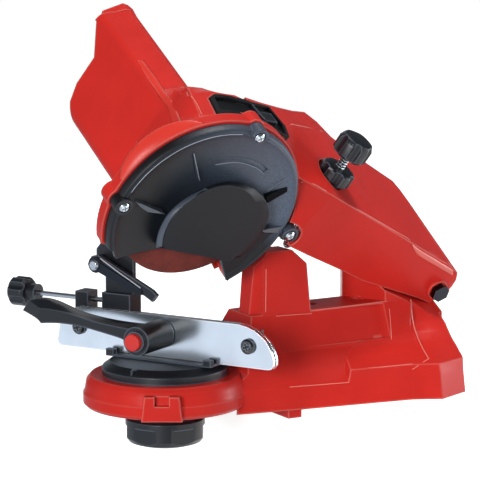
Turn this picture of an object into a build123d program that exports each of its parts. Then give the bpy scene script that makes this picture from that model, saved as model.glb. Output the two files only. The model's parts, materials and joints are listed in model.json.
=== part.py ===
"""Bench saw-chain grinder: tilted grinding head on a hinged arm, swivelling chain vise, moulded base.

Three working frames carry the pieces.
  base frame   X to the rear, Y across, Z up, origin midway between the bench bolts on the underside
  vise frame   origin on the swivel axis at the carrier deck, x along the jaws, y away from the operator
  disc frame   origin at the grinding disc's centre, x to the rear, y up in the disc's plane,
               z along the spindle towards the operator
  arm frame    the disc frame turned by the arm's pitch, x along the arm, y square to its top
"""
from build123d import *
import math
import os

# ---------------------------------------------------------------- driving sizes, mm and degrees
# bench fixing
BOLT_SPACING = 36.0
BOLT_HOLE_R = 4.25
SLEEVE_R = 9.0
LUG_DROP = 6.0
# base moulding
WALL = 3.2
CARRIER_R = 53.3
CARRIER_UNDER = 4.0
DECK_Z = 24.0
SWIVEL_X = -129.0
FLOOR_Z = 59.3
POST_X0 = -75.0
POST_X1 = -28.5
POST_TOP_X1 = -44.3
POST_Y0 = -19.0
POST_Y1 = -1.0
BAY_X1 = 15.5
BAY_FAR_Y = 13.0
BLOCK_X1 = 77.0
BLOCK_Y0 = -17.0
BLOCK_Y1 = 42.0
# swivel table and its clamp
TABLE_R = 41.0
TABLE_RIM = 5.6
TABLE_TOP = 8.8
TABLE_TOP_R = 35.6
SWIVEL_SET = 30.0
STUD_R = 4.0
STUD_HEAD_R = 8.0
LOCK_KNOB_R = 26.0
LOCK_KNOB_H = 18.0
LOCK_KNOB_HUB = 5.0
WASHER_THICK = 1.0
# vise
JAW_LEFT = -83.0
JAW_RIGHT = 83.0
JAW_BOTTOM = 10.5
JAW_TOP = 38.0
JAW_THICK = 2.0
CHAIN_GAP = 1.6
JAW_OPENING = 0.6
JAW_SCREW_X = 64.5
JAW_SCREW_Z = 24.5
CLAMP_Z = 26.5
CLAMP_R = 3.0
LEVER_REACH = 92.0
HUB_R = 9.5
HUB_FRONT = 34.5
CAP_R = 5.5
CAP_FRONT = 40.0
BODY_DEPTH = 16.0
FOOT_LEFT = -40.0
FOOT_RIGHT = 40.0
# chain stop
STOP_X = -40.0
STOP_W = 22.0
STOP_Z = 41.0
STOP_ROD_R = 1.7
STOP_ROD_Y = 12.0
STOP_KNOB_X = -116.0
STOP_KNOB_R = 10.0
PAWL_X = -52.5
PAWL_Z = 67.0
PAWL_PIN_R = 1.9
# grinding head
HEAD_TILT = 30.0
ARM_PITCH = 31.0
DISC_X = -127.5
DISC_LIFT = 85.0
GRIND_Z = 66.0
DISC_R = 54.0
DISC_THICK = 3.2
DISC_BORE_R = 11.5
GUARD_R = 65.75
GUARD_BACK = 5.0
GUARD_FRONT = 12.0
GUARD_WALL = 2.4
COVER_SEAT = 13.2
COVER_FRONT = 17.0
CHAMBER_R = 67.8
CHAMBER_BACK = -14.0
SCREW_BOSS_R = 6.0
SCREW_HEAD_R = 3.3
BOSS_BACK = -5.0
# motor barrel
BARREL_HALF = 30.0
BARREL_HUMP = 44.5
BARREL_END = -156.0
BARREL_STEP_LENGTH = 24.0
SPINDLE_R = 5.0
BEARING_R = 11.0
BEARING_FRONT = -18.0
BEARING_REAR = -112.0
BEARING_W = 7.0
MOTOR_R = 26.6
MOTOR_REAR = -104.0
MOTOR_FRONT = -34.0
# arm
SIDE_Z = 14.0
FAR_Z = -76.0
RIDGE_Y = 54.5
DECK_Y = 67.0
ARM_WALL = 3.2
ARM_END = 226.0
PIVOT_X = 213.5
PIVOT_Y = 35.5
PIVOT_R = 4.0
KNUCKLE_R = 8.8
CHEEK_SWEEP_R = 13.0
KNUCKLE_FAR = -46.0
CHEEK_GAP = 0.5
CHEEK_THICK = 5.0
# switch
ROCKER_X = 11.0
ROCKER_Z = -21.0
# cord inlet
GLAND_X = 120.0
GLAND_Y = 40.0
CORD_R = 3.3
# depth stop
DEPTH_X = 82.4
DEPTH_Y = -48.5
DEPTH_Z = -8.0
DEPTH_LEAN = 19.2
DEPTH_R = 3.0
DEPTH_KNOB_AT = 77.0
DEPTH_LOCK_AT = 57.0
DEPTH_KNOB_R = 12.0
DEPTH_KNOB_H = 15.0
DEPTH_LOCK_H = 11.0
# fits
RUN = 0.05
SLIDE = 0.2
SEAT = 0.3

# ---------------------------------------------------------------- sizes that follow from the ones above
KNUCKLE_NEAR = SIDE_Z - ARM_WALL - CHEEK_GAP - 1.0
FAR_CHEEK = KNUCKLE_FAR - CHEEK_GAP
PIVOT_BOSS_R = 7.5
PIVOT_HEAD_AF = 11.5
BARREL_STEP_AT = BARREL_END + BARREL_STEP_LENGTH
BODY_FACE = CHAIN_GAP / 2 + JAW_THICK
FRONT_FACE = -CHAIN_GAP / 2 - JAW_THICK
HUB_BACK = FRONT_FACE - 1.0
LOCK_KNOB_LOW = CARRIER_UNDER - 2 - DECK_Z - WASHER_THICK - RUN - LOCK_KNOB_H - LOCK_KNOB_HUB

LOW = (Align.CENTER, Align.CENTER, Align.MIN)


# ---------------------------------------------------------------- frames
def disc_centre():
    """Centre of the grinding disc: it plunges in its own plane onto the chain over the swivel axis."""
    tilt = math.radians(HEAD_TILT)
    return Vector(DISC_X, -DISC_LIFT * math.sin(tilt), GRIND_Z + DISC_LIFT * math.cos(tilt))


def spindle_axis():
    tilt = math.radians(HEAD_TILT)
    return Vector(0, -math.cos(tilt), -math.sin(tilt))


DISC = Plane(origin=disc_centre(), x_dir=(1, 0, 0), z_dir=spindle_axis()).location
ARM = DISC * Rot(0, 0, -ARM_PITCH)
VISE = Location((SWIVEL_X, 0, DECK_Z), (0, 0, SWIVEL_SET - 90))
DEPTH = DISC * Pos(DEPTH_X, DEPTH_Y, DEPTH_Z) * Rot(0, 0, -DEPTH_LEAN) * Rot(-90, 0, 0)


# ---------------------------------------------------------------- small helpers
def rod(radius, low, high, x=0.0, y=0.0):
    """Round bar along z."""
    return Pos(x, y, low) * Cylinder(radius, high - low, align=LOW)


def rod_x(radius, low, high, y=0.0, z=0.0):
    return Pos(low, y, z) * Rot(0, 90, 0) * Cylinder(radius, high - low, align=LOW)


def rod_y(radius, low, high, x=0.0, z=0.0):
    return Pos(x, low, z) * Rot(-90, 0, 0) * Cylinder(radius, high - low, align=LOW)


def block(x0, x1, y0, y1, z0, z1):
    return Pos((x0 + x1) / 2, (y0 + y1) / 2, (z0 + z1) / 2) * Box(x1 - x0, y1 - y0, z1 - z0)


def prism(points, low, high):
    """Outline in x, y pulled along z."""
    return Pos(0, 0, low) * extrude(Polygon(*points, align=None), high - low, dir=(0, 0, 1))


def prism_y(points, low, high):
    """Outline in x, z pulled along y."""
    face = Plane.XZ.offset(-low) * Polygon(*points, align=None)
    return extrude(face, high - low, dir=(0, 1, 0))


def section(points, z):
    return Pos(0, 0, z) * Polygon(*points, align=None)


def turned(points):
    """Solid turned about z from an r, z outline."""
    return revolve(Plane.XZ * Polygon(*points, align=None), Axis.Z)


def around(count, radius, start=0.0):
    for k in range(count):
        angle = math.radians(start + 360.0 * k / count)
        yield radius * math.cos(angle), radius * math.sin(angle)


def hex_head(across_flats, low, high):
    return Pos(0, 0, low) * extrude(RegularPolygon(across_flats / math.sqrt(3), 6), high - low)


def grip(radius, height, lobes, notch, crown):
    """Hand knob with scalloped rim and a domed crown, standing on z = 0."""
    body = turned([(0, 0), (radius - 1.5, 0), (radius, 1.5), (radius, height - crown),
                   (radius * 0.86, height - crown * 0.35), (radius * 0.5, height), (0, height)])
    for x, y in around(lobes, radius + notch * 0.45):
        body -= rod(notch, -1, height + 1, x, y)
    return body


# ---------------------------------------------------------------- base
def base_levels(inset):
    """Plans of the rear body from the bench up: z, near side corners, far side corners."""
    rows = [
        (0.0, [(-104, 38), (-60, 46), (26, 58.5), (44, 67), (70, 56)],
         [(-104, 38), (-60, 46), (26, 57), (44, 62), (70, 56)]),
        (14.8, [(-102, 36.5), (-60, 43.5), (27, 56), (44, 64.4), (69.5, 54)],
         [(-102, 36.5), (-60, 44), (27, 55), (44, 60), (69.5, 54)]),
        (24.0, [(-85, 32), (-60, 36.5), (28, 44.5), (46, 45), (69.7, 40)],
         [(-85, 32), (-60, 40), (28, 52), (46, 56), (69.7, 52)]),
        (35.0, [(-82, 26.5), (-60, 27.5), (44, 27.5), (56, 25), (71.5, 24)],
         [(-81, 26.5), (-60, 30), (30, 38), (50, 46), (72, 46)]),
        (FLOOR_Z, [(POST_X0, -POST_Y0), (-60, -POST_Y0), (44, -BLOCK_Y0), (62, -BLOCK_Y0), (76, 14)],
         [(POST_X0, BAY_FAR_Y - 2), (-60, BAY_FAR_Y), (BAY_X1, BAY_FAR_Y + 1), (BAY_X1 + 16, BLOCK_Y1),
          (BLOCK_X1, BLOCK_Y1)]),
    ]
    levels = []
    for z, near_side, far_side in rows:
        ring = [(x, -y + inset) for x, y in near_side] + [(x, y - inset) for x, y in reversed(far_side)]
        for k, step in ((0, inset), (4, -inset), (5, -inset), (9, inset)):
            ring[k] = (ring[k][0] + step, ring[k][1])
        levels.append((z, ring))
    return levels


def plinth_levels(inset):
    """Raised foot along the near side and round the rear near corner, up to its cove."""
    rows = [
        (10.0, [(-15, 40), (-15, 46), (26, 52), (44, 61), (68, 51)]),
        (14.8, [(-19, 40), (-19, 49.4), (27, 56), (44, 64.4), (69.5, 54)]),
        (23.0, [(-17, 38), (-17, 49.0), (28, 54.8), (44, 62), (69.7, 53)]),
        (25.5, [(-15, 36), (-15, 43.5), (29, 48.4), (45, 55), (69.7, 50.5)]),
        (29.0, [(-13, 31), (-13, 36.5), (36, 40), (50, 45.5), (70, 46)]),
        (33.0, [(-5, 27), (-5, 30), (44, 32), (55, 37.5), (71, 39.5)]),
        (38.0, [(14, 25), (14, 26), (49, 26), (58.5, 30), (72.5, 33)]),
        (45.0, [(40, 20), (40, 21), (49, 21.8), (60.5, 24), (74, 24)]),
        (53.0, [(44, 17), (44, 18), (49, 18.6), (61.5, 19.4), (75.2, 17)]),
    ]
    levels = []
    for z, side in rows:
        ring = [(x, -y + inset) for x, y in side] + [(side[4][0], -8), (side[0][0], -8)]
        for k, step in ((0, inset), (1, inset), (4, -inset), (5, -inset), (6, inset)):
            ring[k] = (ring[k][0] + step, ring[k][1])
        levels.append((z, ring))
    return levels


def stacked(levels):
    solid = None
    for (z0, ring0), (z1, ring1) in zip(levels, levels[1:]):
        part = loft([section(ring0, z0), section(ring1, z1)], ruled=True)
        solid = part if solid is None else solid + part
    return solid


def carrier():
    body = turned([(0, CARRIER_UNDER), (CARRIER_R - 2, CARRIER_UNDER), (CARRIER_R, CARRIER_UNDER + 2),
                   (CARRIER_R, 12.5), (CARRIER_R - 0.8, 13.3), (CARRIER_R - 2.2, DECK_Z - 3),
                   (CARRIER_R - 5, DECK_Z), (0, DECK_Z)])
    hollow = turned([(0, 0), (CARRIER_R - WALL, 0), (CARRIER_R - WALL, 12), (CARRIER_R - WALL - 5, DECK_Z - 5),
                     (0, DECK_Z - 5)])
    hub = rod(12, CARRIER_UNDER - 2, DECK_Z, 0, 0)
    return body, hollow, hub


def front_lug():
    """Notched socket on the carrier's wall, facing the operator."""
    pad = prism_y([(-13, 4), (13, 4), (11, 20), (-11, 20)], -CARRIER_R - 2.5, -CARRIER_R + 6)
    notch = block(-4.5, 4.5, -CARRIER_R - 4, -CARRIER_R + 1.5, 14, 24)
    return Rot(0, 0, SWIVEL_SET - 60) * (pad - notch)


def head_pocket(grow):
    """Room for the arm's near cheek and its swing about the pivot."""
    under = [(100, 8.5), (128, 11.6), (150, 12.2), (204, 20.8), (PIVOT_X, PIVOT_Y - CHEEK_SWEEP_R)]
    outline = [(x, y - grow) for x, y in under] + [(PIVOT_X, 80), (100, 80)]
    sweep = prism(outline, KNUCKLE_NEAR - grow, 50)
    sweep += rod(CHEEK_SWEEP_R + grow, KNUCKLE_NEAR - grow, 50, PIVOT_X, PIVOT_Y)
    sweep += prism([(PIVOT_X - 2, PIVOT_Y - 2 - grow), (PIVOT_X + 26, PIVOT_Y - 9 - grow), (PIVOT_X + 26, 80),
                    (PIVOT_X - 2, 80)], KNUCKLE_NEAR - grow, 50)
    return ARM * sweep


def post():
    """Upright that the depth screw lands on: chamfered top, bevelled front left corner."""
    front = [(POST_X0, FLOOR_Z - 12), (POST_X0 + 3.5, 91), (-63, POST_TOP), (POST_TOP_X1, POST_TOP),
             (POST_X1 - 4.5, 91), (POST_X1, FLOOR_Z - 12)]
    plan = [(POST_X0 - 5, POST_Y1), (POST_X0 - 5, POST_Y0 + 9), (POST_X0 + 8.5, POST_Y0), (POST_X1 + 5, POST_Y0),
            (POST_X1 + 5, POST_Y1)]
    return prism_y(front, POST_Y0 - 1, POST_Y1) & prism(plan, 0, POST_TOP + 5)


def side_panel():
    """Shallow hollow in the near wall below the bay, deepest before its swept rear end."""
    depth = [(-52, -0.3), (0, 1.0), (17, 2.4), (22.5, 2.4), (26, 1.7), (28.2, 0.5), (29, -1)]
    faces = []
    for z, left, right in ((36.5, 27.0, 27.0), (58.0, 19.5, 17.7)):
        ring = []
        for x, d in depth:
            wall = left + (right - left) * (x + 60) / 104
            ring.append((x, -wall + d))
        ring += [(29, -32), (-52, -32)]
        faces.append(section(ring, z))
    return loft(faces, ruled=True)


def rear_block():
    """Block behind the open bay, rising inside the arm to the tilted pivot knuckle."""
    lean = [(PIVOT_X - 60, PIVOT_Y - 74), (PIVOT_X - 46, PIVOT_Y - 14), (PIVOT_X - 20, PIVOT_Y + 4),
            (PIVOT_X - 8, PIVOT_Y + 6), (PIVOT_X + 9, PIVOT_Y - 7), (PIVOT_X + 44, PIVOT_Y - 62),
            (PIVOT_X + 20, PIVOT_Y - 90)]
    plan = [(BAY_X1 + 15, BLOCK_Y0), (BLOCK_X1, BLOCK_Y0), (BLOCK_X1, BLOCK_Y1), (BAY_X1 + 16, BLOCK_Y1),
            (BAY_X1, BAY_FAR_Y + 1)]
    core = prism(plan, FLOOR_Z - 20, 110) & ARM * prism(lean, KNUCKLE_FAR, 40)
    core += prism(plan, FLOOR_Z - 20, FLOOR_Z + 2)
    core += ARM * rod(KNUCKLE_R, KNUCKLE_FAR, KNUCKLE_NEAR, PIVOT_X, PIVOT_Y)
    return core


def base_housing():
    body, hollow, hub = carrier()
    shell = Pos(SWIVEL_X, 0, 0) * body
    shell += stacked(base_levels(0.0))
    shell += stacked(plinth_levels(0.0))
    shell -= side_panel()
    shell += post()
    shell += rear_block()
    shell -= head_pocket(0.0)
    inner = base_levels(WALL)
    inner[0] = (-1.0, inner[0][1])
    inner[-1] = (FLOOR_Z - 4, inner[-1][1])
    shell -= stacked(inner) - head_pocket(WALL)
    shell -= Pos(SWIVEL_X, 0, 0) * hollow
    shell -= block(POST_X0 + 9, POST_X1 - 8, POST_Y0 + WALL + 3, POST_Y1 - WALL, FLOOR_Z - 14, POST_TOP - 15)
    shell += Pos(SWIVEL_X, 0, 0) * hub
    for x in (-BOLT_SPACING / 2, BOLT_SPACING / 2):
        shell += rod(SLEEVE_R, 0, FLOOR_Z - 1, x, 0)
        shell -= rod(BOLT_HOLE_R, -1, FLOOR_Z + 1, x, 0)
    shell += block(-61, -51, -43, 43, -LUG_DROP, 8)
    shell += Pos(SWIVEL_X, 0, 0) * front_lug()
    shell -= Pos(SWIVEL_X, 0, 0) * rod(STUD_R + RUN, -5, DECK_Z + 5)
    shell -= ARM * rod(PIVOT_R + RUN, KNUCKLE_FAR - 5, KNUCKLE_NEAR + 5, PIVOT_X, PIVOT_Y)
    return shell


# ---------------------------------------------------------------- swivel table and its clamp
def turntable():
    disc = turned([(0, RUN), (TABLE_R, RUN), (TABLE_R, TABLE_RIM - 1), (TABLE_R - 0.8, TABLE_RIM),
                   (TABLE_TOP_R, TABLE_TOP), (0, TABLE_TOP)])
    pointer = prism([(-2.2, -TABLE_TOP_R + 1), (0, -TABLE_R + 0.2), (2.2, -TABLE_TOP_R + 1)], RUN, TABLE_TOP)
    disc += pointer
    disc -= rod(STUD_HEAD_R, TABLE_TOP - 3, TABLE_TOP + 1)
    return VISE * (disc - rod(STUD_R, -1, TABLE_TOP + 1))


def swivel_stud():
    """Carriage bolt hanging from the vise body, through table and carrier, into the clamp knob."""
    stud = rod(STUD_R, LOCK_KNOB_LOW + 3.4, TABLE_TOP - 2)
    stud += rod(STUD_HEAD_R, TABLE_TOP - 3, TABLE_TOP - 0.4)
    return VISE * stud


def lock_knob():
    """Broad hand wheel under the carrier, with shallow finger flats round its lower side."""
    body = turned([(0, 0), (LOCK_KNOB_R - 7, 0), (LOCK_KNOB_R - 2.2, 1.6), (LOCK_KNOB_R, 4.5),
                   (LOCK_KNOB_R, LOCK_KNOB_H - 1.5), (LOCK_KNOB_R - 1.5, LOCK_KNOB_H), (0, LOCK_KNOB_H)])
    for x, y in around(6, LOCK_KNOB_R + 9.2, 30):
        angle = math.degrees(math.atan2(y, x))
        body -= Pos(x, y, 5) * Rot(0, 0, angle) * Box(21, 30, 15)
    body += rod(11, LOCK_KNOB_H - 1, LOCK_KNOB_H + LOCK_KNOB_HUB)
    body -= rod(STUD_R + RUN, 3, LOCK_KNOB_H + 20)
    return VISE * Pos(0, 0, LOCK_KNOB_LOW) * body


def lock_washer():
    top = CARRIER_UNDER - 2 - DECK_Z
    ring = rod(12, top - WASHER_THICK, top) - rod(STUD_R + RUN, top - 5, top + 5)
    return VISE * ring


# ---------------------------------------------------------------- vise
def jaw_outline():
    return [(JAW_LEFT, JAW_BOTTOM), (JAW_RIGHT - 4, JAW_BOTTOM), (JAW_RIGHT, JAW_BOTTOM + 9),
            (JAW_RIGHT - 8, JAW_TOP - 9), (JAW_RIGHT - 24, JAW_TOP), (JAW_LEFT + 16, JAW_TOP),
            (JAW_LEFT + 3, JAW_TOP - 10)]


def jaw_plate(low, high):
    """Long jaw: big round at both upper ends, small rounds below."""
    plate = prism_y(jaw_outline(), low, high)
    edges = plate.edges().filter_by(Axis.Y).sort_by(Axis.Z)
    plate = fillet(edges[:2], 3.5)
    upper = plate.edges().filter_by(Axis.Y).filter_by(lambda e: e.center().Z > JAW_BOTTOM + 6)
    return fillet(upper, 8.0)


def front_jaw():
    plate = jaw_plate(-CHAIN_GAP / 2 - JAW_THICK, -CHAIN_GAP / 2)
    for x in (-JAW_SCREW_X, JAW_SCREW_X):
        plate -= rod_y(2.5 + RUN, -10, 10, x, JAW_SCREW_Z)
    plate -= rod_y(CLAMP_R + RUN, -10, 10, 0, CLAMP_Z)
    return VISE * plate


def rear_jaw():
    plate = jaw_plate(CHAIN_GAP / 2, CHAIN_GAP / 2 + JAW_THICK)
    for x in (-JAW_SCREW_X, JAW_SCREW_X):
        plate -= rod_y(2.5, -10, 10, x, JAW_SCREW_Z)
    plate -= rod_y(CLAMP_R + RUN, -10, 10, 0, CLAMP_Z)
    return VISE * plate


def vise_body():
    """Black moulding that stands on the table, backs the rear jaw and guides the chain stop."""
    back = BODY_FACE + BODY_DEPTH
    foot = block(FOOT_LEFT, FOOT_RIGHT, -9, back, TABLE_TOP, JAW_BOTTOM - 0.2)
    for x in (FOOT_LEFT, FOOT_RIGHT - 6):
        foot += block(x, x + 6, -9, -5, TABLE_TOP, JAW_BOTTOM + 3)
    wall = block(-72, 70, BODY_FACE, BODY_FACE + 4, JAW_BOTTOM + 2, 34)
    web = block(-60, 46, BODY_FACE, back, JAW_BOTTOM - 0.5, 30)
    rail = block(-72, 46, BODY_FACE, back, 26, 34)
    body = foot + wall + web + rail
    body -= block(-60, 40, STOP_ROD_Y - 3, STOP_ROD_Y + 3, 28, 40)
    body += block(-74, -64, STOP_ROD_Y - 6, STOP_ROD_Y + 6, 30, STOP_Z + 5.5)
    body -= rod_x(STOP_ROD_R + RUN, -80, -60, STOP_ROD_Y, STOP_Z)
    body -= rod_y(CLAMP_R + 0.4, -30, 40, 0, CLAMP_Z)
    body -= block(-14, 14, BODY_FACE + 6, back + 5, CLAMP_Z - 12, 40)
    for x in (-JAW_SCREW_X, JAW_SCREW_X):
        body -= rod_y(2.5, -30, 30, x, JAW_SCREW_Z)
    return VISE * body


def jaw_screws():
    screws = []
    head = -CHAIN_GAP / 2 - JAW_THICK - JAW_OPENING - 0.2
    for x in (-JAW_SCREW_X, JAW_SCREW_X):
        screw = rod_y(2.5, head, BODY_FACE + 6, x, JAW_SCREW_Z)
        screw += Pos(x, head, JAW_SCREW_Z) * Rot(90, 0, 0) * turned([(0, 0), (5, 0), (5, 0.8), (3.6, 2.6), (0, 3)])
        screws.append(VISE * screw)
    return screws


def clamp_bolt():
    bolt = rod_y(CLAMP_R, -HUB_FRONT + 6, BODY_FACE + 6.5, 0, CLAMP_Z)
    bolt += Pos(0, BODY_FACE + 6.5, CLAMP_Z) * Rot(-90, 0, 0) * hex_head(10, 0, 5)
    return VISE * bolt


def clamp_washer():
    """Thin bowed washer on the lever's hub, facing the front jaw."""
    ring = rod_y(CLAMP_R + 3.2, HUB_BACK, HUB_BACK + 0.3, 0, CLAMP_Z)
    return VISE * (ring - rod_y(CLAMP_R + RUN, -60, 20, 0, CLAMP_Z))


def lever_face(points, depth):
    """Outline of the lever arm in x, z at one depth, its edges drawn as smooth curves."""
    tip, top, low = points
    place = [[Vector(x, depth, CLAMP_Z + z) for x, z in run] for run in (tip, top, low)]
    upper = Spline(*place[1])
    lower = Spline(*place[2])
    ends = Polyline(place[2][-1], *place[0], place[1][0]) + Line(place[1][-1], place[2][0])
    return make_face(upper + lower + ends)


def clamp_lever():
    """Lever arm with a bevelled top and end, forged to its hub."""
    reach = -LEVER_REACH
    top = [(reach + 3, 17), (reach + 25, 17.8), (reach + 38, 14), (-38, 11), (-16, 9.4), (0, 9.4)]
    low = [(1, -8), (-12, -1), (-24, 1.5), (-48, 5), (-70, 4.6), (reach + 16, 3.6)]
    top_front = [(reach + 15, 13.6), (reach + 27, 13.7), (reach + 40, 12.4), (-38, 9.9), (-16, 7.4), (0, 6.4)]
    low_front = [(0, -6), (-12, -0.5), (-24, 1.8), (-48, 5), (-68, 4.8), (reach + 16, 3.8)]
    back = lever_face([[(reach - 2, 10)], top, low], -21)
    mid = lever_face([[(reach - 2, 10)], top, low], -26)
    front = lever_face([[(reach + 13, 7)], top_front, low_front], -31)
    lever = loft([back, mid], ruled=True) + loft([mid, front], ruled=True)
    lever += rod_y(HUB_R, -HUB_FRONT, HUB_BACK, 0, CLAMP_Z)
    lever += rod_y(CAP_R + 1.3, -HUB_FRONT - 1.5, -HUB_FRONT + 1, 0, CLAMP_Z)
    lever -= rod_y(CLAMP_R + RUN, -HUB_FRONT + 5, 0, 0, CLAMP_Z)
    lever -= rod_y(CAP_R, -HUB_FRONT - 5, -HUB_FRONT + 5, 0, CLAMP_Z)
    return VISE * lever


def clamp_cap():
    cap = rod_y(CAP_R, -CAP_FRONT, -HUB_FRONT + 5, 0, CLAMP_Z)
    return VISE * chamfer(cap.edges().filter_by(GeomType.CIRCLE).sort_by(Axis.Y)[0], 0.6)


# ---------------------------------------------------------------- chain stop
def stop_carriage():
    """Block that slides along the body's rail and holds the upright with the pawl's ear."""
    left = STOP_X - STOP_W / 2
    right = STOP_X + STOP_W / 2
    slider = block(left, right, STOP_ROD_Y - 3 + SLIDE, STOP_ROD_Y + 3 - SLIDE, 28 + SLIDE, 48)
    slider += block(left, right, BODY_FACE + 0.5, STOP_ROD_Y + 5, 34 + SLIDE, 48)
    upright = prism_y([(left, 40), (right, 40), (right, 76), (right - 4, 80), (PAWL_X - 2, 80),
                       (PAWL_X - 5.5, 76), (PAWL_X - 5.5, PAWL_Z - 2), (PAWL_X - 2, PAWL_Z - 5.5),
                       (left, PAWL_Z - 5.5)], STOP_ROD_Y - 4, STOP_ROD_Y - 1)
    slider += upright
    slider += rod_y(5.5, 2.6, STOP_ROD_Y - 1, PAWL_X, PAWL_Z)
    slider -= rod_y(PAWL_PIN_R, -5, 20, PAWL_X, PAWL_Z)
    slider -= rod_x(STOP_ROD_R + RUN, left - 2, left + 14, STOP_ROD_Y, STOP_Z)
    return VISE * slider


def stop_screw():
    screw = rod_x(STOP_ROD_R, STOP_KNOB_X - 6, STOP_X - STOP_W / 2 + 13, STOP_ROD_Y, STOP_Z)
    return VISE * screw


def stop_knob():
    body = grip(STOP_KNOB_R, 14, 6, 3.4, 3.0)
    body += rod(6, 13, 20)
    body -= rod(STOP_ROD_R, 6, 30)
    return VISE * Pos(STOP_KNOB_X - 12, STOP_ROD_Y, STOP_Z) * Rot(0, 90, 0) * body


def pawl():
    """Black stop finger that drops between two cutters."""
    finger = [(-6, 0), (-3, 5.5), (2, 6.5), (44, -13.5), (47.5, -16.5), (44, -21), (38, -17.5), (2, -4.5), (-3, -5)]
    body = prism_y([(PAWL_X + x, PAWL_Z + z) for x, z in finger], -1.6, 1.6)
    body += rod_y(5.6, -1.6, 2.4, PAWL_X, PAWL_Z)
    return VISE * (body - rod_y(PAWL_PIN_R + RUN, -9, 9, PAWL_X, PAWL_Z))


def pawl_strip():
    """Bright steel wear strip on the operator's side of the finger."""
    strip = [(1, -4), (4, 1.5), (36, -13.5), (37, -17), (33, -17)]
    body = prism_y([(PAWL_X + x, PAWL_Z + z) for x, z in strip], -2.6, -1.6)
    body += rod_y(5.0, -2.6, -1.6, PAWL_X, PAWL_Z)
    return VISE * (body - rod_y(PAWL_PIN_R + RUN, -9, 9, PAWL_X, PAWL_Z))


def pawl_pin():
    pin = rod_y(PAWL_PIN_R, -2.7, STOP_ROD_Y - 1.5, PAWL_X, PAWL_Z)
    pin += Pos(PAWL_X, -2.7, PAWL_Z) * Rot(90, 0, 0) * turned([(0, 0), (3.6, 0), (3.6, 1), (2.4, 2), (0, 2.2)])
    return VISE * pin


# ---------------------------------------------------------------- grinding head
def mouth():
    """Part of the disc that stays bare: outline of what is cut from chamber and guard."""
    return [(-95, -10), (-63.9, -20.6), (-47.9, -27), (-31, -16.5), (8.2, -28), (21.3, -37.8), (33.2, -58.2),
            (48, -95), (-95, -95)]


BOSSES = [(-61.0, 13.2), (20.8, 59.7), (66.7, -21.0)]
POCKETS = [
    [(-50, 14.5), (-41, 27.5), (-29, 38.5), (-18.5, 32.5), (-11, 21), (-16, 10), (-27, 1.5)],
    [(-54.5, 2.5), (-42.4, 4.8), (-26.8, -0.5), (-28.0, -12.9), (-27.5, -27), (-50.3, -29.5)],
]
POCKET_FLOORS = [
    [(-47, 14), (-39.5, 26), (-28.6, 35.5), (-20, 30.5), (-13, 20.5), (-18, 10.5), (-27, 4)],
    [(-52.5, 1), (-42.4, 2.8), (-28.3, -2), (-29.5, -12.9), (-29.5, -27), (-48.3, -29.5)],
]
RIB_RIGHT = ([(44.8, -13.8), (60, -12.5), (61, -20.5), (45.4, -18.5)],
             [(45.2, -16.2), (60, -15.4), (60.5, -19.4), (45.4, -17.0)])
BEAK = [(44.6, -19.2), (58, -20.8), (70, -26), (60, -55), (36, -66), (24, -48), (24, -36), (38, -31), (43, -24)]
ARC_GROOVE = [(-1, 36.6), (10.9, 37.4), (19.4, 36), (27.1, 32.9), (32, 30.2), (36.2, 26.8), (39.2, 28.9), (34.5, 33),
              (29.2, 36.2), (22.4, 38.9), (15.1, 40.4), (9, 40.8), (3, 40.2)]
NOTCH = [(38.7, 13.6), (41.8, 7.2), (55.7, 16.3), (53.6, 20.3)]
COVER_BASE = [(-30.3, -20.2), (-31.6, -11.8), (-31, -3.2), (-28.4, 5.5), (-23.5, 12.5), (-16.7, 18.4),
              (-7.7, 23.8), (3.5, 26.8), (15.2, 25.8), (27.5, 20.5), (37, 12.7), (42.9, 5), (46, -4),
              (45.3, -14.4), (41.5, -26.6), (34, -35.2)]
COVER_TOP = [(-27.2, -17.9), (-28.5, -9.5), (-28.1, -1.3), (-25.9, 6.6), (-22, 13.3), (-16, 19.3),
             (-7.6, 24.7), (1.6, 27.1), (10.3, 26.3), (20.2, 21.6), (28, 14.7), (33, 7.6), (35.8, -0.2),
             (36.2, -9.8), (33.4, -20.4), (28.6, -30.4)]
COVER_FOOT = [(24.2, -35.7), (11.3, -30.9), (-26.7, -19.6)]


def arm_levels(inset):
    """Cross-sections along the arm: x, bottom, near edge (y, z), ridge (y, z), far edge (y, z)."""
    rows = [
        (-2, 0, (66, 4), (DECK_Y, -8), (DECK_Y, -31)),
        (20, -8, (63, 4), (DECK_Y, -10), (DECK_Y, -40)),
        (48, 8, (50, 4), (DECK_Y, -33), (DECK_Y, -53)),
        (72, 10, (RIDGE_Y, SIDE_Z), (DECK_Y, -44), (DECK_Y, -65)),
        (93, 11, (RIDGE_Y, SIDE_Z), (DECK_Y, -53), (DECK_Y + 1, FAR_Z)),
        (108, 12, (RIDGE_Y, SIDE_Z), (66, -56), (DECK_Y, FAR_Z)),
        (128, 13.3, (RIDGE_Y, SIDE_Z), (62, -58), (63.5, FAR_Z)),
        (150, 14, (RIDGE_Y, SIDE_Z), (60.5, -60), (61.5, FAR_Z)),
        (206, 23, (RIDGE_Y, SIDE_Z), (59.5, -60), (60, FAR_Z)),
        (218, 24, (RIDGE_Y - 1.5, SIDE_Z), (57, -60), (57.5, FAR_Z)),
        (223, 31.5, (48, SIDE_Z - 0.5), (51, -60), (51, FAR_Z + 1)),
        (ARM_END, 36, (42, SIDE_Z - 1.5), (44, -60), (44, FAR_Z + 2)),
    ]
    levels = []
    last = len(rows) - 1
    for k, (x, low, near, ridge, far) in enumerate(rows):
        bottom = low - (30 if inset else 0)
        x += inset if k == 0 else 0
        x -= inset if k == last else 0
        ring = [(bottom, near[1] - inset), (near[0] - inset, near[1] - inset), (ridge[0] - inset, ridge[1]),
                (far[0] - inset, far[1] + inset), (bottom, far[1] + inset)]
        levels.append((x, ring))
    return levels


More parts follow.
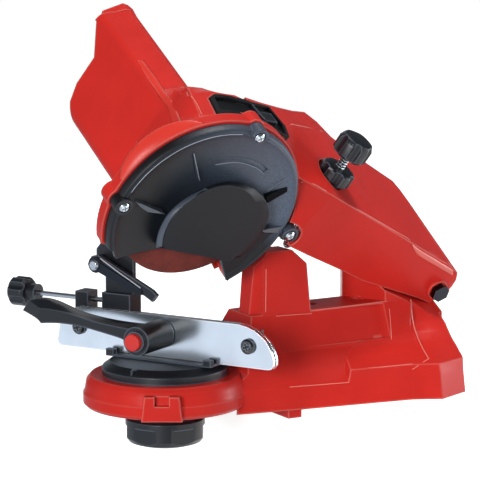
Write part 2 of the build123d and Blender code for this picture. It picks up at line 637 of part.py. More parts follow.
def saddle():
    """Slope that carries the deck's back edge down onto the motor barrel."""
    sections = [
        (-14, [(66, -15), (66, -24), (44, -58), (20, -14)]),
        (44, [(DECK_Y, -40), (DECK_Y, -50.5), (28, -76), (16, -40)]),
    ]
    return arm_solid(sections)


def flare():
    """Barrel's upper left corner swept up and out into the chamber: z, corner, crease, crown, shoulder, deck."""
    rows = [
        (-68, (-27.5, 27.0), (-23.5, 32.5), (-19, 37.5), (-14, 41.0), 40),
        (-48, (-32.2, 32.5), (-31, 42.0), (-23, 46.5), (-14, 50.4), 52.2),
        (-36.5, (-35.5, 32.6), (-40.6, 51.8), (-30, 56.0), (-14, 58.4), 62.3),
        (-27, (-38.8, 32.6), (-42.6, 51.6), (-30, 59.9), (-14, 65.6), DECK_Y - 0.1),
        (-14, (-45.0, 32.2), (-44.3, 50.2), (-30, 59.9), (-14, 65.8), DECK_Y - 0.1),
        (-4, (-52.0, 32.0), (-46.0, 48.8), (-30, 59.9), (-14, 65.8), DECK_Y - 0.1),
    ]
    levels = []
    for z, corner, crease, crown, top, deck in rows:
        levels.append((z, [(0, 0), (0, deck), top, crown, crease, corner, (corner[0] + 2, 0)]))
    return stacked(levels)


def arm_solid(levels):
    solid = None
    for (x0, ring0), (x1, ring1) in zip(levels, levels[1:]):
        faces = []
        for x, ring in ((x0, ring0), (x1, ring1)):
            wire = Wire.make_polygon([Vector(x, y, z) for y, z in ring])
            faces.append(Face(wire))
        part = loft(faces, ruled=True)
        solid = part if solid is None else solid + part
    return solid


def barrel(inset):
    half = BARREL_HALF - inset
    hump = BARREL_HUMP - inset
    square = [(-half, -half), (half, -half), (half, 29 - inset), (12, 35.5 - inset), (-14, hump),
              (-half, BARREL_HALF - inset * 0.4)]
    body = prism(square, BARREL_END + inset, CHAMBER_BACK + 6)
    edges = body.edges().filter_by(Axis.Z)
    body = fillet(edges, 7.0 if inset == 0 else 4.0)
    step = [(-60, BARREL_END - 5), (24.5, BARREL_END - 5), (24.5, BARREL_END + 2), (9, BARREL_STEP_AT),
            (-11, BARREL_STEP_AT + 4), (-22, BARREL_STEP_AT + 11), (-29, BARREL_STEP_AT + 22),
            (-60, BARREL_STEP_AT + 22)]
    face = Plane.YZ.offset(-60) * Polygon(*[(y, z + inset) for y, z in step], align=None)
    cutter = extrude(face, 120, dir=(1, 0, 0))
    return body - cutter


def head_housing():
    """Red moulding: disc chamber, motor barrel and hollow arm in one piece."""
    chamber = turned([(0, CHAMBER_BACK - 2), (44, CHAMBER_BACK - 2), (CHAMBER_R - 2.4, -4.6), (CHAMBER_R, -2.9),
                      (CHAMBER_R, GUARD_BACK), (0, GUARD_BACK)])
    for x, y in BOSSES:
        chamber += rod(SCREW_BOSS_R + 1.5, BOSS_BACK, GUARD_BACK, x, y)
    inner = CHAMBER_R - WALL
    room = turned([(0, -8), (20, -8), (22, -4.2), (inner - 6.6, -4.2), (inner, -1.2), (inner, GUARD_BACK + 1),
                   (0, GUARD_BACK + 1)])
    chamber -= prism(mouth(), -4.2, 60)
    chamber -= prism([(x, y - 6) for x, y in mouth()], -60, 60)
    head = DISC * chamber
    arm = arm_solid(arm_levels(0.0))
    arm -= arm_solid(arm_levels(ARM_WALL)) & block(40, 300, -100, 100, -200, 100)
    arm -= block(ARM_END - 8, ARM_END + 1, 0, PIVOT_Y + 4.5, FAR_CHEEK + 0.5, SIDE_Z - ARM_WALL)
    arm += saddle()
    arm += flare()
    arm += prism([(150, 14), (206, 22), (222, 24), (222, 54), (150, 54)], FAR_CHEEK - CHEEK_THICK, FAR_CHEEK)
    arm += rod(PIVOT_BOSS_R, SIDE_Z - ARM_WALL, SIDE_Z + 2, PIVOT_X, PIVOT_Y)
    arm += rod(PIVOT_BOSS_R + 2, KNUCKLE_NEAR + CHEEK_GAP, SIDE_Z - 1, PIVOT_X, PIVOT_Y)
    arm += barrel(0.0)
    head += ARM * arm
    head -= ARM * (barrel(WALL) - block(-80, 80, -80, 80, -20, 50))
    head -= DISC * room
    head -= DISC * (rod(GUARD_R + 1.6, GUARD_BACK, 60) - rod(1, 0, 1))
    for x, y in BOSSES:
        head -= DISC * rod(SCREW_BOSS_R + 2.2, GUARD_BACK, 60, x, y)
        head -= DISC * rod(1.6, -8, GUARD_BACK + 1, x, y)
    head -= DISC * rod(SPINDLE_R + 1.0, -40, 10)
    head -= DISC * rod(BEARING_R, -40, BEARING_FRONT + BEARING_W)
    head -= ARM * rod(PIVOT_R + RUN, -120, 60, PIVOT_X, PIVOT_Y)
    head -= ARM * rod(5, FAR_Z - 5, FAR_Z + ARM_WALL + 5, GLAND_X, GLAND_Y)
    head -= DEPTH * rod(DEPTH_KNOB_R + 1.5, DEPTH_LOCK_AT - 0.3, 140)
    head += DEPTH * (rod(8, DEPTH_LOCK_AT - 12, DEPTH_LOCK_AT - 0.3))
    head -= DEPTH * rod(DEPTH_R + RUN, 0, 140)
    head -= ARM * (prism_y(console_outline(-0.2), 48, 80) - shoulder(61.0) - boss_relief())
    head -= ARM * Pos(ROCKER_X, DECK_Y - 7, ROCKER_Z) * Box(20.8, 5, 10.8)
    return head


def console_outline(inset):
    return [(-34.5 + inset, -21), (-30 + inset, -24.5 + inset), (-14, -24 + inset), (0, -27.5 + inset),
            (30.5 - inset, -42 + inset), (33.4 - inset, -22), (25 - inset, -5), (8, -3 - inset),
            (-36.5 + inset, -4 - inset)]


def shoulder(radius):
    """Top of the head in the arm frame: round over the disc, flat along the deck."""
    return rod(radius, -60, 15) + block(0, 60, 0, radius, -60, 15)


def boss_relief():
    """Room round the guard's upper screw boss, in the arm frame."""
    x, y = BOSSES[1]
    return Rot(0, 0, ARM_PITCH) * rod(SCREW_BOSS_R + 2.5, BOSS_BACK - 2, 20, x, y)


def switch_console():
    tray = (prism_y(console_outline(0.0), 48, 80) & shoulder(DECK_Y + 0.3)) - shoulder(61.2)
    tray -= prism_y(console_outline(3.0), 48, 80) - shoulder(DECK_Y - 2.2)
    tray -= Pos(ROCKER_X, DECK_Y - 6, ROCKER_Z) * Box(20.4, 14, 10.4)
    tray -= boss_relief()
    return ARM * tray


def switch_rocker():
    outline = [(-9.8, -5), (9.8, -5), (9.8, -3.5), (8.9, 1.2), (0, -1.6), (-8.9, 0.2), (-9.8, -3.5)]
    rocker = prism([(ROCKER_X + x, DECK_Y + y) for x, y in outline], ROCKER_Z - 5, ROCKER_Z + 5)
    return ARM * rocker


def ridge(base, crest, low, high):
    """Tapered rib on the guard's face: base outline at one height, crest outline at the other."""
    return loft([section(base, low), section(crest, high)], ruled=True)


def fin(start, end, low, rise, crest):
    """Thin upright rib between two points of the guard's face, climbing from rise to crest."""
    (x0, y0), (x1, y1) = start, end
    length = math.hypot(x1 - x0, y1 - y0)
    along = Plane(origin=(x0, y0, 0), x_dir=(x1 - x0, y1 - y0, 0), z_dir=(y1 - y0, x0 - x1, 0))
    side = along * Polygon((0, low), (length, low), (length, crest), (0, rise), align=None)
    return extrude(side, 0.5, both=True)


def guard():
    """Black disc guard: raised rim, dished face with pockets and ribs, screw bosses, open over the mouth."""
    front = GUARD_FRONT
    seat = COVER_SEAT
    rim = turned([(0, GUARD_BACK), (GUARD_R, GUARD_BACK), (GUARD_R, front - 3), (GUARD_R - 1.0, front - 1.2),
                  (GUARD_R - 3, front - 0.2), (58.5, front + 0.2), (58, front - 0.4), (52, front - 1.2),
                  (40, seat), (0, seat)])
    thin = GUARD_WALL
    rim -= turned([(0, 0), (GUARD_R - thin, 0), (GUARD_R - thin, front - 3.4), (GUARD_R - thin - 3, front - 0.4 - thin),
                   (58, front - 0.8 - thin), (52, front - 1.2 - thin), (40, seat - thin), (0, seat - thin)])
    inside = rod(GUARD_R - 1, GUARD_BACK, front)
    for x, y in BOSSES:
        rim += rod(SCREW_BOSS_R, GUARD_BACK, front + 2, x, y)
    for pocket in POCKETS:
        rim += prism(pocket, front - 7.2, front - 2.4) & inside
    for pocket, floor in zip(POCKETS, POCKET_FLOORS):
        rim -= ridge(floor, pocket, front - 4.8, front + 0.5)
    rim += fin((-20.4, 48.4), (-8.4, 24.6), front - 3, front + 0.5, front + 2.0)
    rim += ridge(*RIB_RIGHT, front - 3, front + 0.9)
    rim -= prism(ARC_GROOVE, front - 0.9, front + 3)
    rim -= prism(NOTCH, front - 0.6, front + 3)
    rim += prism(cover_points(COVER_BASE, 0.4), front - 4.8, seat) - rod(30, 0, seat - thin)
    rim -= prism(BEAK, front - 1.8, front + 3)
    for x, y in BOSSES:
        rim -= rod(SCREW_HEAD_R + 0.9, front + 1, front + 5, x, y)
        rim -= rod(1.6, 0, 30, x, y)
    rim -= prism(mouth(), 0, 40)
    rim -= prism(cover_points(COVER_TOP, -3.4), 0, 40)
    return DISC * rim


def cover_points(dome, grow):
    """Dome outline closed by its straight foot, grown or shrunk about the cover's middle."""
    centre_x = 5.0
    centre_y = -1.0
    ring = []
    for x, y in dome + COVER_FOOT:
        reach = math.hypot(x - centre_x, y - centre_y)
        ring.append((x + grow * (x - centre_x) / reach, y + grow * (y - centre_y) / reach))
    return ring


def cover_face(dome, z):
    """Cover outline as a smooth curve closed by its straight foot."""
    curve = [Vector(x, y, z) for x, y in dome]
    foot = [curve[-1]] + [Vector(x, y, z) for x, y in COVER_FOOT] + [curve[0]]
    return make_face(Spline(*curve) + Polyline(*foot))


def guard_cover():
    """Raised cover over the spindle nut, with a broad bevel falling away to the rear."""
    top = COVER_FRONT
    shell = extrude(cover_face(COVER_BASE, COVER_SEAT), 0.6, dir=(0, 0, 1))
    shell += loft([cover_face(COVER_BASE, COVER_SEAT + 0.6), cover_face(COVER_TOP, top)], ruled=True)
    shell -= prism(cover_points(COVER_TOP, -2.4), COVER_SEAT - 1, top - 2.4)
    return DISC * shell


def guard_screws():
    screws = []
    for x, y in BOSSES:
        screw = rod(1.6, -6, GUARD_FRONT + 1, x, y)
        head = turned([(0, 0), (SCREW_HEAD_R, 0), (SCREW_HEAD_R, 0.8), (2.2, 1.9), (0, 2.2)])
        screw += Pos(x, y, GUARD_FRONT + 1) * head
        screws.append(DISC * screw)
    return screws


def grinding_disc():
    half = DISC_THICK / 2
    disc = turned([(DISC_BORE_R, -half), (DISC_R - 0.6, -half), (DISC_R, -half + 0.6), (DISC_R, half - 0.6),
                   (DISC_R - 0.6, half), (DISC_BORE_R, half)])
    return DISC * disc


def flange_back():
    ring = turned([(SPINDLE_R, -6), (10, -6), (17, -DISC_THICK / 2), (DISC_BORE_R, -DISC_THICK / 2), (DISC_BORE_R, 1),
                   (SPINDLE_R, 1)])
    return DISC * ring


def flange_front():
    ring = turned([(SPINDLE_R, 1), (DISC_BORE_R, 1), (DISC_BORE_R, DISC_THICK / 2), (17, DISC_THICK / 2), (15, 4.5),
                   (SPINDLE_R, 4.5)])
    return DISC * ring


def spindle():
    shaft = rod(SPINDLE_R, BEARING_REAR - 2, 9.5)
    return DISC * shaft


def spindle_nut():
    return DISC * (hex_head(15, 4.5, 9.0) - rod(SPINDLE_R, 0, 20))


def bearing(low):
    ring = rod(BEARING_R, low, low + BEARING_W) - rod(SPINDLE_R + RUN, low - 5, low + 20)
    return DISC * ring


def motor_body():
    """Motor can, close in the barrel, with the rear bearing's seat in its end shield."""
    can = rod(MOTOR_R, MOTOR_REAR, MOTOR_FRONT) + rod(BEARING_R + 3, BEARING_REAR - 2, MOTOR_REAR + 4)
    can -= rod(SPINDLE_R + 1.0, BEARING_REAR - 5, 0)
    can -= rod(BEARING_R, BEARING_REAR, BEARING_REAR + BEARING_W)
    return DISC * can


def cord_gland():
    """Rubber sleeve where the mains cord enters, on the arm's far side."""
    gland = rod(7.5, FAR_Z - 3, FAR_Z, GLAND_X, GLAND_Y)
    gland += rod(5, FAR_Z - 22, FAR_Z + ARM_WALL + 2, GLAND_X, GLAND_Y)
    for low in (FAR_Z - 19, FAR_Z - 14, FAR_Z - 9):
        gland -= rod(8, low, low + 2, GLAND_X, GLAND_Y) - rod(4.2, low - 1, low + 3, GLAND_X, GLAND_Y)
    gland -= rod(CORD_R, FAR_Z - 30, FAR_Z + 20, GLAND_X, GLAND_Y)
    return ARM * gland


# ---------------------------------------------------------------- pivot and depth stop
def pivot_bolt():
    bolt = rod(PIVOT_R, FAR_CHEEK - CHEEK_THICK - 7, SIDE_Z + 2.6, PIVOT_X, PIVOT_Y)
    bolt += Pos(PIVOT_X, PIVOT_Y, 0) * hex_head(PIVOT_HEAD_AF, SIDE_Z + 2.1, SIDE_Z + 6.5)
    return ARM * bolt


def pivot_nut():
    nut = hex_head(13, FAR_CHEEK - CHEEK_THICK - 6.5, FAR_CHEEK - CHEEK_THICK - 0.1)
    return ARM * (Pos(PIVOT_X, PIVOT_Y, 0) * nut - rod(PIVOT_R, -200, 100, PIVOT_X, PIVOT_Y))


def depth_screw():
    screw = rod(DEPTH_R, DEPTH_R, DEPTH_KNOB_AT + 6)
    screw += Pos(0, 0, DEPTH_R) * Sphere(DEPTH_R)
    return DEPTH * screw


def depth_knob():
    body = grip(DEPTH_KNOB_R, DEPTH_KNOB_H, 6, 4.0, 5.0)
    return DEPTH * Pos(0, 0, DEPTH_KNOB_AT) * (body - rod(DEPTH_R + RUN, -1, 6.3))


def depth_lock():
    body = grip(DEPTH_KNOB_R, DEPTH_LOCK_H, 6, 4.0, 2.0)
    return DEPTH * Pos(0, 0, DEPTH_LOCK_AT) * (body - rod(DEPTH_R + RUN, -1, 20))


TIP = (DEPTH * Pos(0, 0, DEPTH_R)).position
POST_TOP = TIP.Z - DEPTH_R - SEAT


def save(name, shape):
    export_step(shape if not isinstance(shape, list) else Compound(children=shape), f"parts/{name}.step")


os.makedirs("parts", exist_ok=True)
save("base_housing", base_housing())
save("turntable", turntable())
save("swivel_stud", swivel_stud())
save("lock_knob", lock_knob())
save("lock_washer", lock_washer())
save("front_jaw", front_jaw())
save("rear_jaw", rear_jaw())
save("vise_body", vise_body())
for side, screw in zip(("left", "right"), jaw_screws()):
    save(f"jaw_screw_{side}", screw)
save("clamp_bolt", clamp_bolt())
save("clamp_washer", clamp_washer())
save("clamp_lever", clamp_lever())
save("clamp_cap", clamp_cap())
save("stop_carriage", stop_carriage())
save("stop_screw", stop_screw())
save("stop_knob", stop_knob())
save("pawl", pawl())
save("pawl_strip", pawl_strip())
save("pawl_pin", pawl_pin())
save("head_housing", head_housing())
save("guard", guard())
save("guard_cover", guard_cover())
for k, screw in enumerate(guard_screws(), start=1):
    save(f"guard_screw_{k}", screw)
save("grinding_disc", grinding_disc())
save("flange_back", flange_back())
save("flange_front", flange_front())
save("spindle", spindle())
save("spindle_nut", spindle_nut())
save("bearing_front", bearing(BEARING_FRONT))
save("bearing_rear", bearing(BEARING_REAR))
save("motor_body", motor_body())
save("cord_gland", cord_gland())
save("switch_console", switch_console())
save("switch_rocker", switch_rocker())
save("pivot_bolt", pivot_bolt())
save("pivot_nut", pivot_nut())
save("depth_screw", depth_screw())
save("depth_knob", depth_knob())
save("depth_lock", depth_lock())
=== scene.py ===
"""Bench chain sharpener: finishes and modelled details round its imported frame."""

import json
import math

import bpy
from mathutils import Matrix, Vector


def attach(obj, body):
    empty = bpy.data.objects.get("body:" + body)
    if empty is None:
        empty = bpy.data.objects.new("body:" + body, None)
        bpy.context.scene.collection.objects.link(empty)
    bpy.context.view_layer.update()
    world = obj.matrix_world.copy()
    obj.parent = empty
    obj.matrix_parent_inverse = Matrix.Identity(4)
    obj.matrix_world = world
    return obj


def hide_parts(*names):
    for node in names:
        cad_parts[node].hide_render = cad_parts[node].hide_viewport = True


bl_info = {
    "name": "Bench Chain Sharpener",
    "version": (1, 0, 0),
    "blender": (4, 5, 0),
    "location": "View3D > Sidebar > Sharpener",
    "description": "Finishes, fasteners and studio for a tilting-head chain sharpener",
    "category": "Add Mesh",
}

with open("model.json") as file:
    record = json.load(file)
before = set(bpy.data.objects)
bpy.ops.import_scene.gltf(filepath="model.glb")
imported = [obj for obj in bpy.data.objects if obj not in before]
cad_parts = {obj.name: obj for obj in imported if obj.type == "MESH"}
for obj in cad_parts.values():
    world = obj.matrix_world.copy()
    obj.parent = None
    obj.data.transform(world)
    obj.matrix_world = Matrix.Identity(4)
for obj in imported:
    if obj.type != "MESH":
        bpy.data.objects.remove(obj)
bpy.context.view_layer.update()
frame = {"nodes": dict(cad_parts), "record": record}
NODES = frame["nodes"]
BODY_OF = {n: body for body, names in frame["record"]["behaviour"]["bodies"].items() for n in names}

# Frames of the working parts, in metres
TILT = math.radians(30)
DISC_FRAME = Matrix((
    (1, 0, 0, -0.1275),
    (0, -math.sin(TILT), -math.cos(TILT), -0.0425),
    (0, math.cos(TILT), -math.sin(TILT), 0.066 + 0.085 * math.cos(TILT)),
    (0, 0, 0, 1),
))
ARM_FRAME = DISC_FRAME @ Matrix.Rotation(math.radians(-31), 4, "Z")
VISE_FRAME = Matrix.Translation((-0.129, 0, 0.024)) @ Matrix.Rotation(math.radians(-60), 4, "Z")
DEPTH_FRAME = (DISC_FRAME @ Matrix.Translation((0.0824, -0.0485, -0.008))
               @ Matrix.Rotation(math.radians(-19.2), 4, "Z") @ Matrix.Rotation(math.radians(-90), 4, "X"))


def linear(code):
    """sRGB hex colour as linear RGBA."""
    channels = [int(code[i:i + 2], 16) / 255 for i in (1, 3, 5)]
    return tuple(c / 12.92 if c <= 0.04045 else ((c + 0.055) / 1.055) ** 2.4 for c in channels) + (1.0,)


# ---------------------------------------------------------------- sizes and colours
def tint(name, description, code):
    return bpy.props.FloatVectorProperty(name=name, description=description, subtype="COLOR", size=4,
                                         min=0.0, max=1.0, default=linear(code))


class SharpenerFinish(bpy.types.PropertyGroup):
    """Colours of the moulded and metal parts."""
    red: tint("Housing red", "Moulded nylon of base and head", "#CE2C25")
    cap_red: tint("Cap red", "Moulded cap in the lever hub", "#D42E26")
    black: tint("Black", "Moulded nylon of guard, lever and knobs", "#181B20")
    zinc: tint("Zinc", "Bright zinc plate on jaws and screws", "#E6EEF4")
    steel: tint("Steel", "Turned or rolled steel", "#A9ADB3")
    dark_steel: tint("Blackened steel", "Black oxide on bolts", "#2B2E34")
    wheel: tint("Wheel brown", "Resin bonded corundum", "#72261C")


class SharpenerSizes(bpy.types.PropertyGroup):
    """Sizes of the modelled details."""
    housing_edge: bpy.props.FloatProperty(name="Housing edge", description="Edge radius of the red mouldings",
                                          default=0.0016, min=0.0, max=0.005, unit="LENGTH")
    small_edge: bpy.props.FloatProperty(name="Small edge", description="Edge radius of knobs and small mouldings",
                                        default=0.0007, min=0.0, max=0.003, unit="LENGTH")
    metal_edge: bpy.props.FloatProperty(name="Metal edge", description="Broken edge of steel parts",
                                        default=0.0003, min=0.0, max=0.002, unit="LENGTH")
    fill: bpy.props.FloatProperty(name="Fill light", description="Strength of the studio's even light",
                                  default=0.28, min=0.0, max=2.0)
    key: bpy.props.FloatProperty(name="Key light", description="Power of the low lamp on the left, in watts",
                                 default=19.0, min=0.0, max=200.0)
    top: bpy.props.FloatProperty(name="Top light", description="Power of the overhead lamp, in watts",
                                 default=13.0, min=0.0, max=200.0)
    right: bpy.props.FloatProperty(name="Right light", description="Power of the grazing lamp on the right, in watts",
                                   default=6.0, min=0.0, max=200.0)


# ---------------------------------------------------------------- materials
def add(tree, kind, values=(), links=(), ramp=None, **settings):
    """Adds one shader node with its settings, its input values and what feeds it."""
    made = tree.nodes.new(kind)
    for name, value in settings.items():
        setattr(made, name, value)
    for socket, value in dict(values).items():
        made.inputs[socket].default_value = value
    for socket, source in dict(links).items():
        tree.links.new(source, made.inputs[socket])
    if ramp:
        points = made.color_ramp.elements
        while len(points) < len(ramp):
            points.new(0.5)
        for point, (position, colour) in zip(points, ramp):
            point.position = position
            point.color = colour
    return made


def start(name):
    """Empty material with object coordinates ready."""
    material = bpy.data.materials.new(name)
    material.use_nodes = True
    tree = material.node_tree
    tree.nodes.clear()
    return material, tree, add(tree, "ShaderNodeTexCoord").outputs["Object"]


def shade(colour, factor):
    return tuple(min(1.0, c * factor) for c in colour[:3]) + (1.0,)


def edge_round_and_highlight(tree, radius, reach=0.0011):
    """Rounded normal at an edge, and a mask that is 1 on an outer edge and 0 on flats and in corners, used to paint a
    highlight along the edge.
    """
    rounded = add(tree, "ShaderNodeBevel", {"Radius": radius}, samples=6)
    inner = add(tree, "ShaderNodeAmbientOcclusion", {"Distance": reach}, inside=True, only_local=True,
                samples=8)
    mask = add(tree, "ShaderNodeMapRange", {"From Min": 0.97, "From Max": 0.72, "To Min": 0.0, "To Max": 1.0},
               {"Value": inner.outputs["AO"]})
    return rounded.outputs[0], mask.outputs[0]


def moulded(name, colour, radius, grain_mm, grain_height, rough, highlight_share=0.3, highlight_tint=None, gloss=0.5,
            painted_sheen=None):
    """Injection-moulded plastic: even colour, spark-eroded grain, softened edges painted slightly paler as a
    highlight.
    """
    material, tree, where = start(name)
    normal, edge = edge_round_and_highlight(tree, radius)
    cloud = add(tree, "ShaderNodeTexNoise", {"Scale": 1 / 0.035, "Detail": 3.0}, {"Vector": where})
    body = add(tree, "ShaderNodeValToRGB", links={"Fac": cloud.outputs["Fac"]},
               ramp=[(0.3, shade(colour, 0.93)), (0.7, shade(colour, 1.05))])
    # outer edges are painted towards a paler tint: a painted highlight
    highlight_colour = highlight_tint or shade(colour, 1.5)
    pale = add(tree, "ShaderNodeMath", {1: highlight_share}, {0: edge}, operation="MULTIPLY")
    grain = add(tree, "ShaderNodeTexNoise", {"Scale": 1000 / grain_mm, "Detail": 2.0}, {"Vector": where})
    base = body.outputs[0]
    if painted_sheen:
        # painted sheen: a blue-grey tint rising from none at the lower x and z to full at the higher, broken into
        # fine specks by the grain
        parts = add(tree, "ShaderNodeSeparateXYZ", links={0: where})
        side = add(tree, "ShaderNodeMapRange", {"From Min": painted_sheen[0], "From Max": painted_sheen[1]},
                   {"Value": parts.outputs["X"]})
        up = add(tree, "ShaderNodeMapRange", {"From Min": painted_sheen[2], "From Max": painted_sheen[3]},
                 {"Value": parts.outputs["Z"]})
        reach = add(tree, "ShaderNodeMath", links={0: side.outputs[0], 1: up.outputs[0]}, operation="MULTIPLY")
        speck = add(tree, "ShaderNodeMapRange", {"From Min": 0.35, "From Max": 0.65, "To Min": 0.6, "To Max": 1.0},
                    {"Value": grain.outputs["Fac"]})
        sheen_amount = add(tree, "ShaderNodeMath", links={0: reach.outputs[0], 1: speck.outputs[0]}, operation="MULTIPLY")
        base = add(tree, "ShaderNodeMix", {7: painted_sheen[4]}, {0: sheen_amount.outputs[0], 6: base}, data_type="RGBA").outputs[2]
    mixed = add(tree, "ShaderNodeMix", {7: highlight_colour}, {0: pale.outputs[0], 6: base}, data_type="RGBA")
    dull = add(tree, "ShaderNodeMapRange", {"To Min": rough - 0.05, "To Max": rough + 0.06},
               {"Value": cloud.outputs["Fac"]})
    bump = add(tree, "ShaderNodeBump", {"Strength": 0.5, "Distance": grain_height},
               {"Height": grain.outputs["Fac"], "Normal": normal})
    surface = add(tree, "ShaderNodeBsdfPrincipled", {"IOR": 1.5, "Specular IOR Level": gloss},
                  {"Base Color": mixed.outputs[2], "Roughness": dull.outputs[0], "Normal": bump.outputs[0]})
    add(tree, "ShaderNodeOutputMaterial", links={"Surface": surface.outputs[0]})
    return material


def metal(name, colour, radius, rough, line_mm=0.5, along=(1, 1, 1), bump_height=0.00001, metallic=1.0):
    """Metal with a fine drawn or plated grain and a broken edge painted brighter as a highlight."""
    material, tree, where = start(name)
    normal, edge = edge_round_and_highlight(tree, radius)
    stretch = add(tree, "ShaderNodeMapping", {"Scale": along}, {"Vector": where})
    lines = add(tree, "ShaderNodeTexNoise", {"Scale": 1000 / line_mm, "Detail": 3.0}, {"Vector": stretch.outputs[0]})
    cloud = add(tree, "ShaderNodeTexNoise", {"Scale": 1 / 0.02, "Detail": 2.0}, {"Vector": where})
    body = add(tree, "ShaderNodeValToRGB", links={"Fac": cloud.outputs["Fac"]},
               ramp=[(0.3, shade(colour, 0.93)), (0.7, shade(colour, 1.04))])
    # outer edges painted a quarter brighter: a painted highlight
    mixed = add(tree, "ShaderNodeMix", {7: shade(colour, 1.25)}, {0: edge, 6: body.outputs[0]}, data_type="RGBA")
    dull = add(tree, "ShaderNodeMapRange", {"To Min": rough * 0.75, "To Max": rough * 1.3},
               {"Value": lines.outputs["Fac"]})
    bump = add(tree, "ShaderNodeBump", {"Strength": 0.3, "Distance": bump_height},
               {"Height": lines.outputs["Fac"], "Normal": normal})
    surface = add(tree, "ShaderNodeBsdfPrincipled", {"Metallic": metallic},
                  {"Base Color": mixed.outputs[2], "Roughness": dull.outputs[0], "Normal": bump.outputs[0]})
    add(tree, "ShaderNodeOutputMaterial", links={"Surface": surface.outputs[0]})
    return material


def threaded(name, colour, rough, pitch_mm, frame_matrix):
    """Rolled thread on a bright screw, its ridges square to the screw's own axis."""
    material, tree, where = start(name)
    turn = frame_matrix.inverted().to_euler()
    along = add(tree, "ShaderNodeMapping", {"Rotation": turn}, {"Vector": where})
    # a wave repeats every 2 pi / 20 of a unit
    ridge = add(tree, "ShaderNodeTexWave", {"Scale": math.tau / 20 / (pitch_mm / 1000), "Distortion": 0.0},
                {"Vector": along.outputs[0]}, wave_type="BANDS", bands_direction="Z", wave_profile="TRI")
    # roots darkened to a quarter: painted shade in the thread's grooves
    body = add(tree, "ShaderNodeValToRGB", links={"Fac": ridge.outputs["Fac"]},
               ramp=[(0.0, shade(colour, 0.25)), (0.6, shade(colour, 1.0))])
    bump = add(tree, "ShaderNodeBump", {"Strength": 1.0, "Distance": 0.0005}, {"Height": ridge.outputs["Fac"]})
    surface = add(tree, "ShaderNodeBsdfPrincipled", {"Metallic": 1.0, "Roughness": rough},
                  {"Base Color": body.outputs[0], "Normal": bump.outputs[0]})
    add(tree, "ShaderNodeOutputMaterial", links={"Surface": surface.outputs[0]})
    return material


def abrasive(name, colour):
    """Resin bonded corundum: coarse matt grains, some paler, some lost."""
    material, tree, where = start(name)
    # grit 60 is 0.3 mm; drawn at 0.9 mm so that it shows
    grit = add(tree, "ShaderNodeTexVoronoi", {"Scale": 1000 / 0.9}, {"Vector": where})
    cloud = add(tree, "ShaderNodeTexNoise", {"Scale": 1 / 0.012, "Detail": 4.0}, {"Vector": where})
    body = add(tree, "ShaderNodeValToRGB", links={"Fac": cloud.outputs["Fac"]},
               ramp=[(0.35, shade(colour, 0.75)), (0.65, shade(colour, 1.15))])
    speck = add(tree, "ShaderNodeValToRGB", links={"Fac": grit.outputs["Color"]},
                ramp=[(0.75, (0, 0, 0, 1)), (0.95, (1, 1, 1, 1))])
    share = add(tree, "ShaderNodeMath", {1: 0.35}, {0: speck.outputs[0]}, operation="MULTIPLY")
    mixed = add(tree, "ShaderNodeMix", {7: shade(colour, 2.2)}, {0: share.outputs[0], 6: body.outputs[0]},
                data_type="RGBA")
    bump = add(tree, "ShaderNodeBump", {"Strength": 0.7, "Distance": 0.0003}, {"Height": grit.outputs["Distance"]})
    surface = add(tree, "ShaderNodeBsdfPrincipled", {"Roughness": 0.85, "IOR": 1.6},
                  {"Base Color": mixed.outputs[2], "Normal": bump.outputs[0]})
    add(tree, "ShaderNodeOutputMaterial", links={"Surface": surface.outputs[0]})
    return material


def white_stage(name):
    """Paper white bench: reads white to the camera and keeps what the object shades."""
    material, tree, where = start(name)
    paper = add(tree, "ShaderNodeTexNoise", {"Scale": 40.0}, {"Vector": where})
    pale = add(tree, "ShaderNodeValToRGB", links={"Fac": paper.outputs["Fac"]},
               ramp=[(0.0, linear("#F4F4F4")), (1.0, linear("#FAFAFA"))])
    matt = add(tree, "ShaderNodeBsdfDiffuse", links={"Color": pale.outputs[0]})
    rays = add(tree, "ShaderNodeLightPath")
    glossy = add(tree, "ShaderNodeMath", links={0: rays.outputs["Is Camera Ray"], 1: rays.outputs["Is Glossy Ray"]},
                 operation="MAXIMUM")
    seen = add(tree, "ShaderNodeMath", links={0: glossy.outputs[0], 1: rays.outputs["Is Transmission Ray"]},
               operation="MAXIMUM")
    glow = add(tree, "ShaderNodeEmission", {"Color": (1, 1, 1, 1), "Strength": 0.7})
    both = add(tree, "ShaderNodeAddShader", links={0: matt.outputs[0], 1: glow.outputs[0]})
    mixed = add(tree, "ShaderNodeMixShader", links={0: seen.outputs[0], 1: matt.outputs[0], 2: both.outputs[0]})
    add(tree, "ShaderNodeOutputMaterial", links={"Surface": mixed.outputs[0]})
    return material


MATERIALS = {}


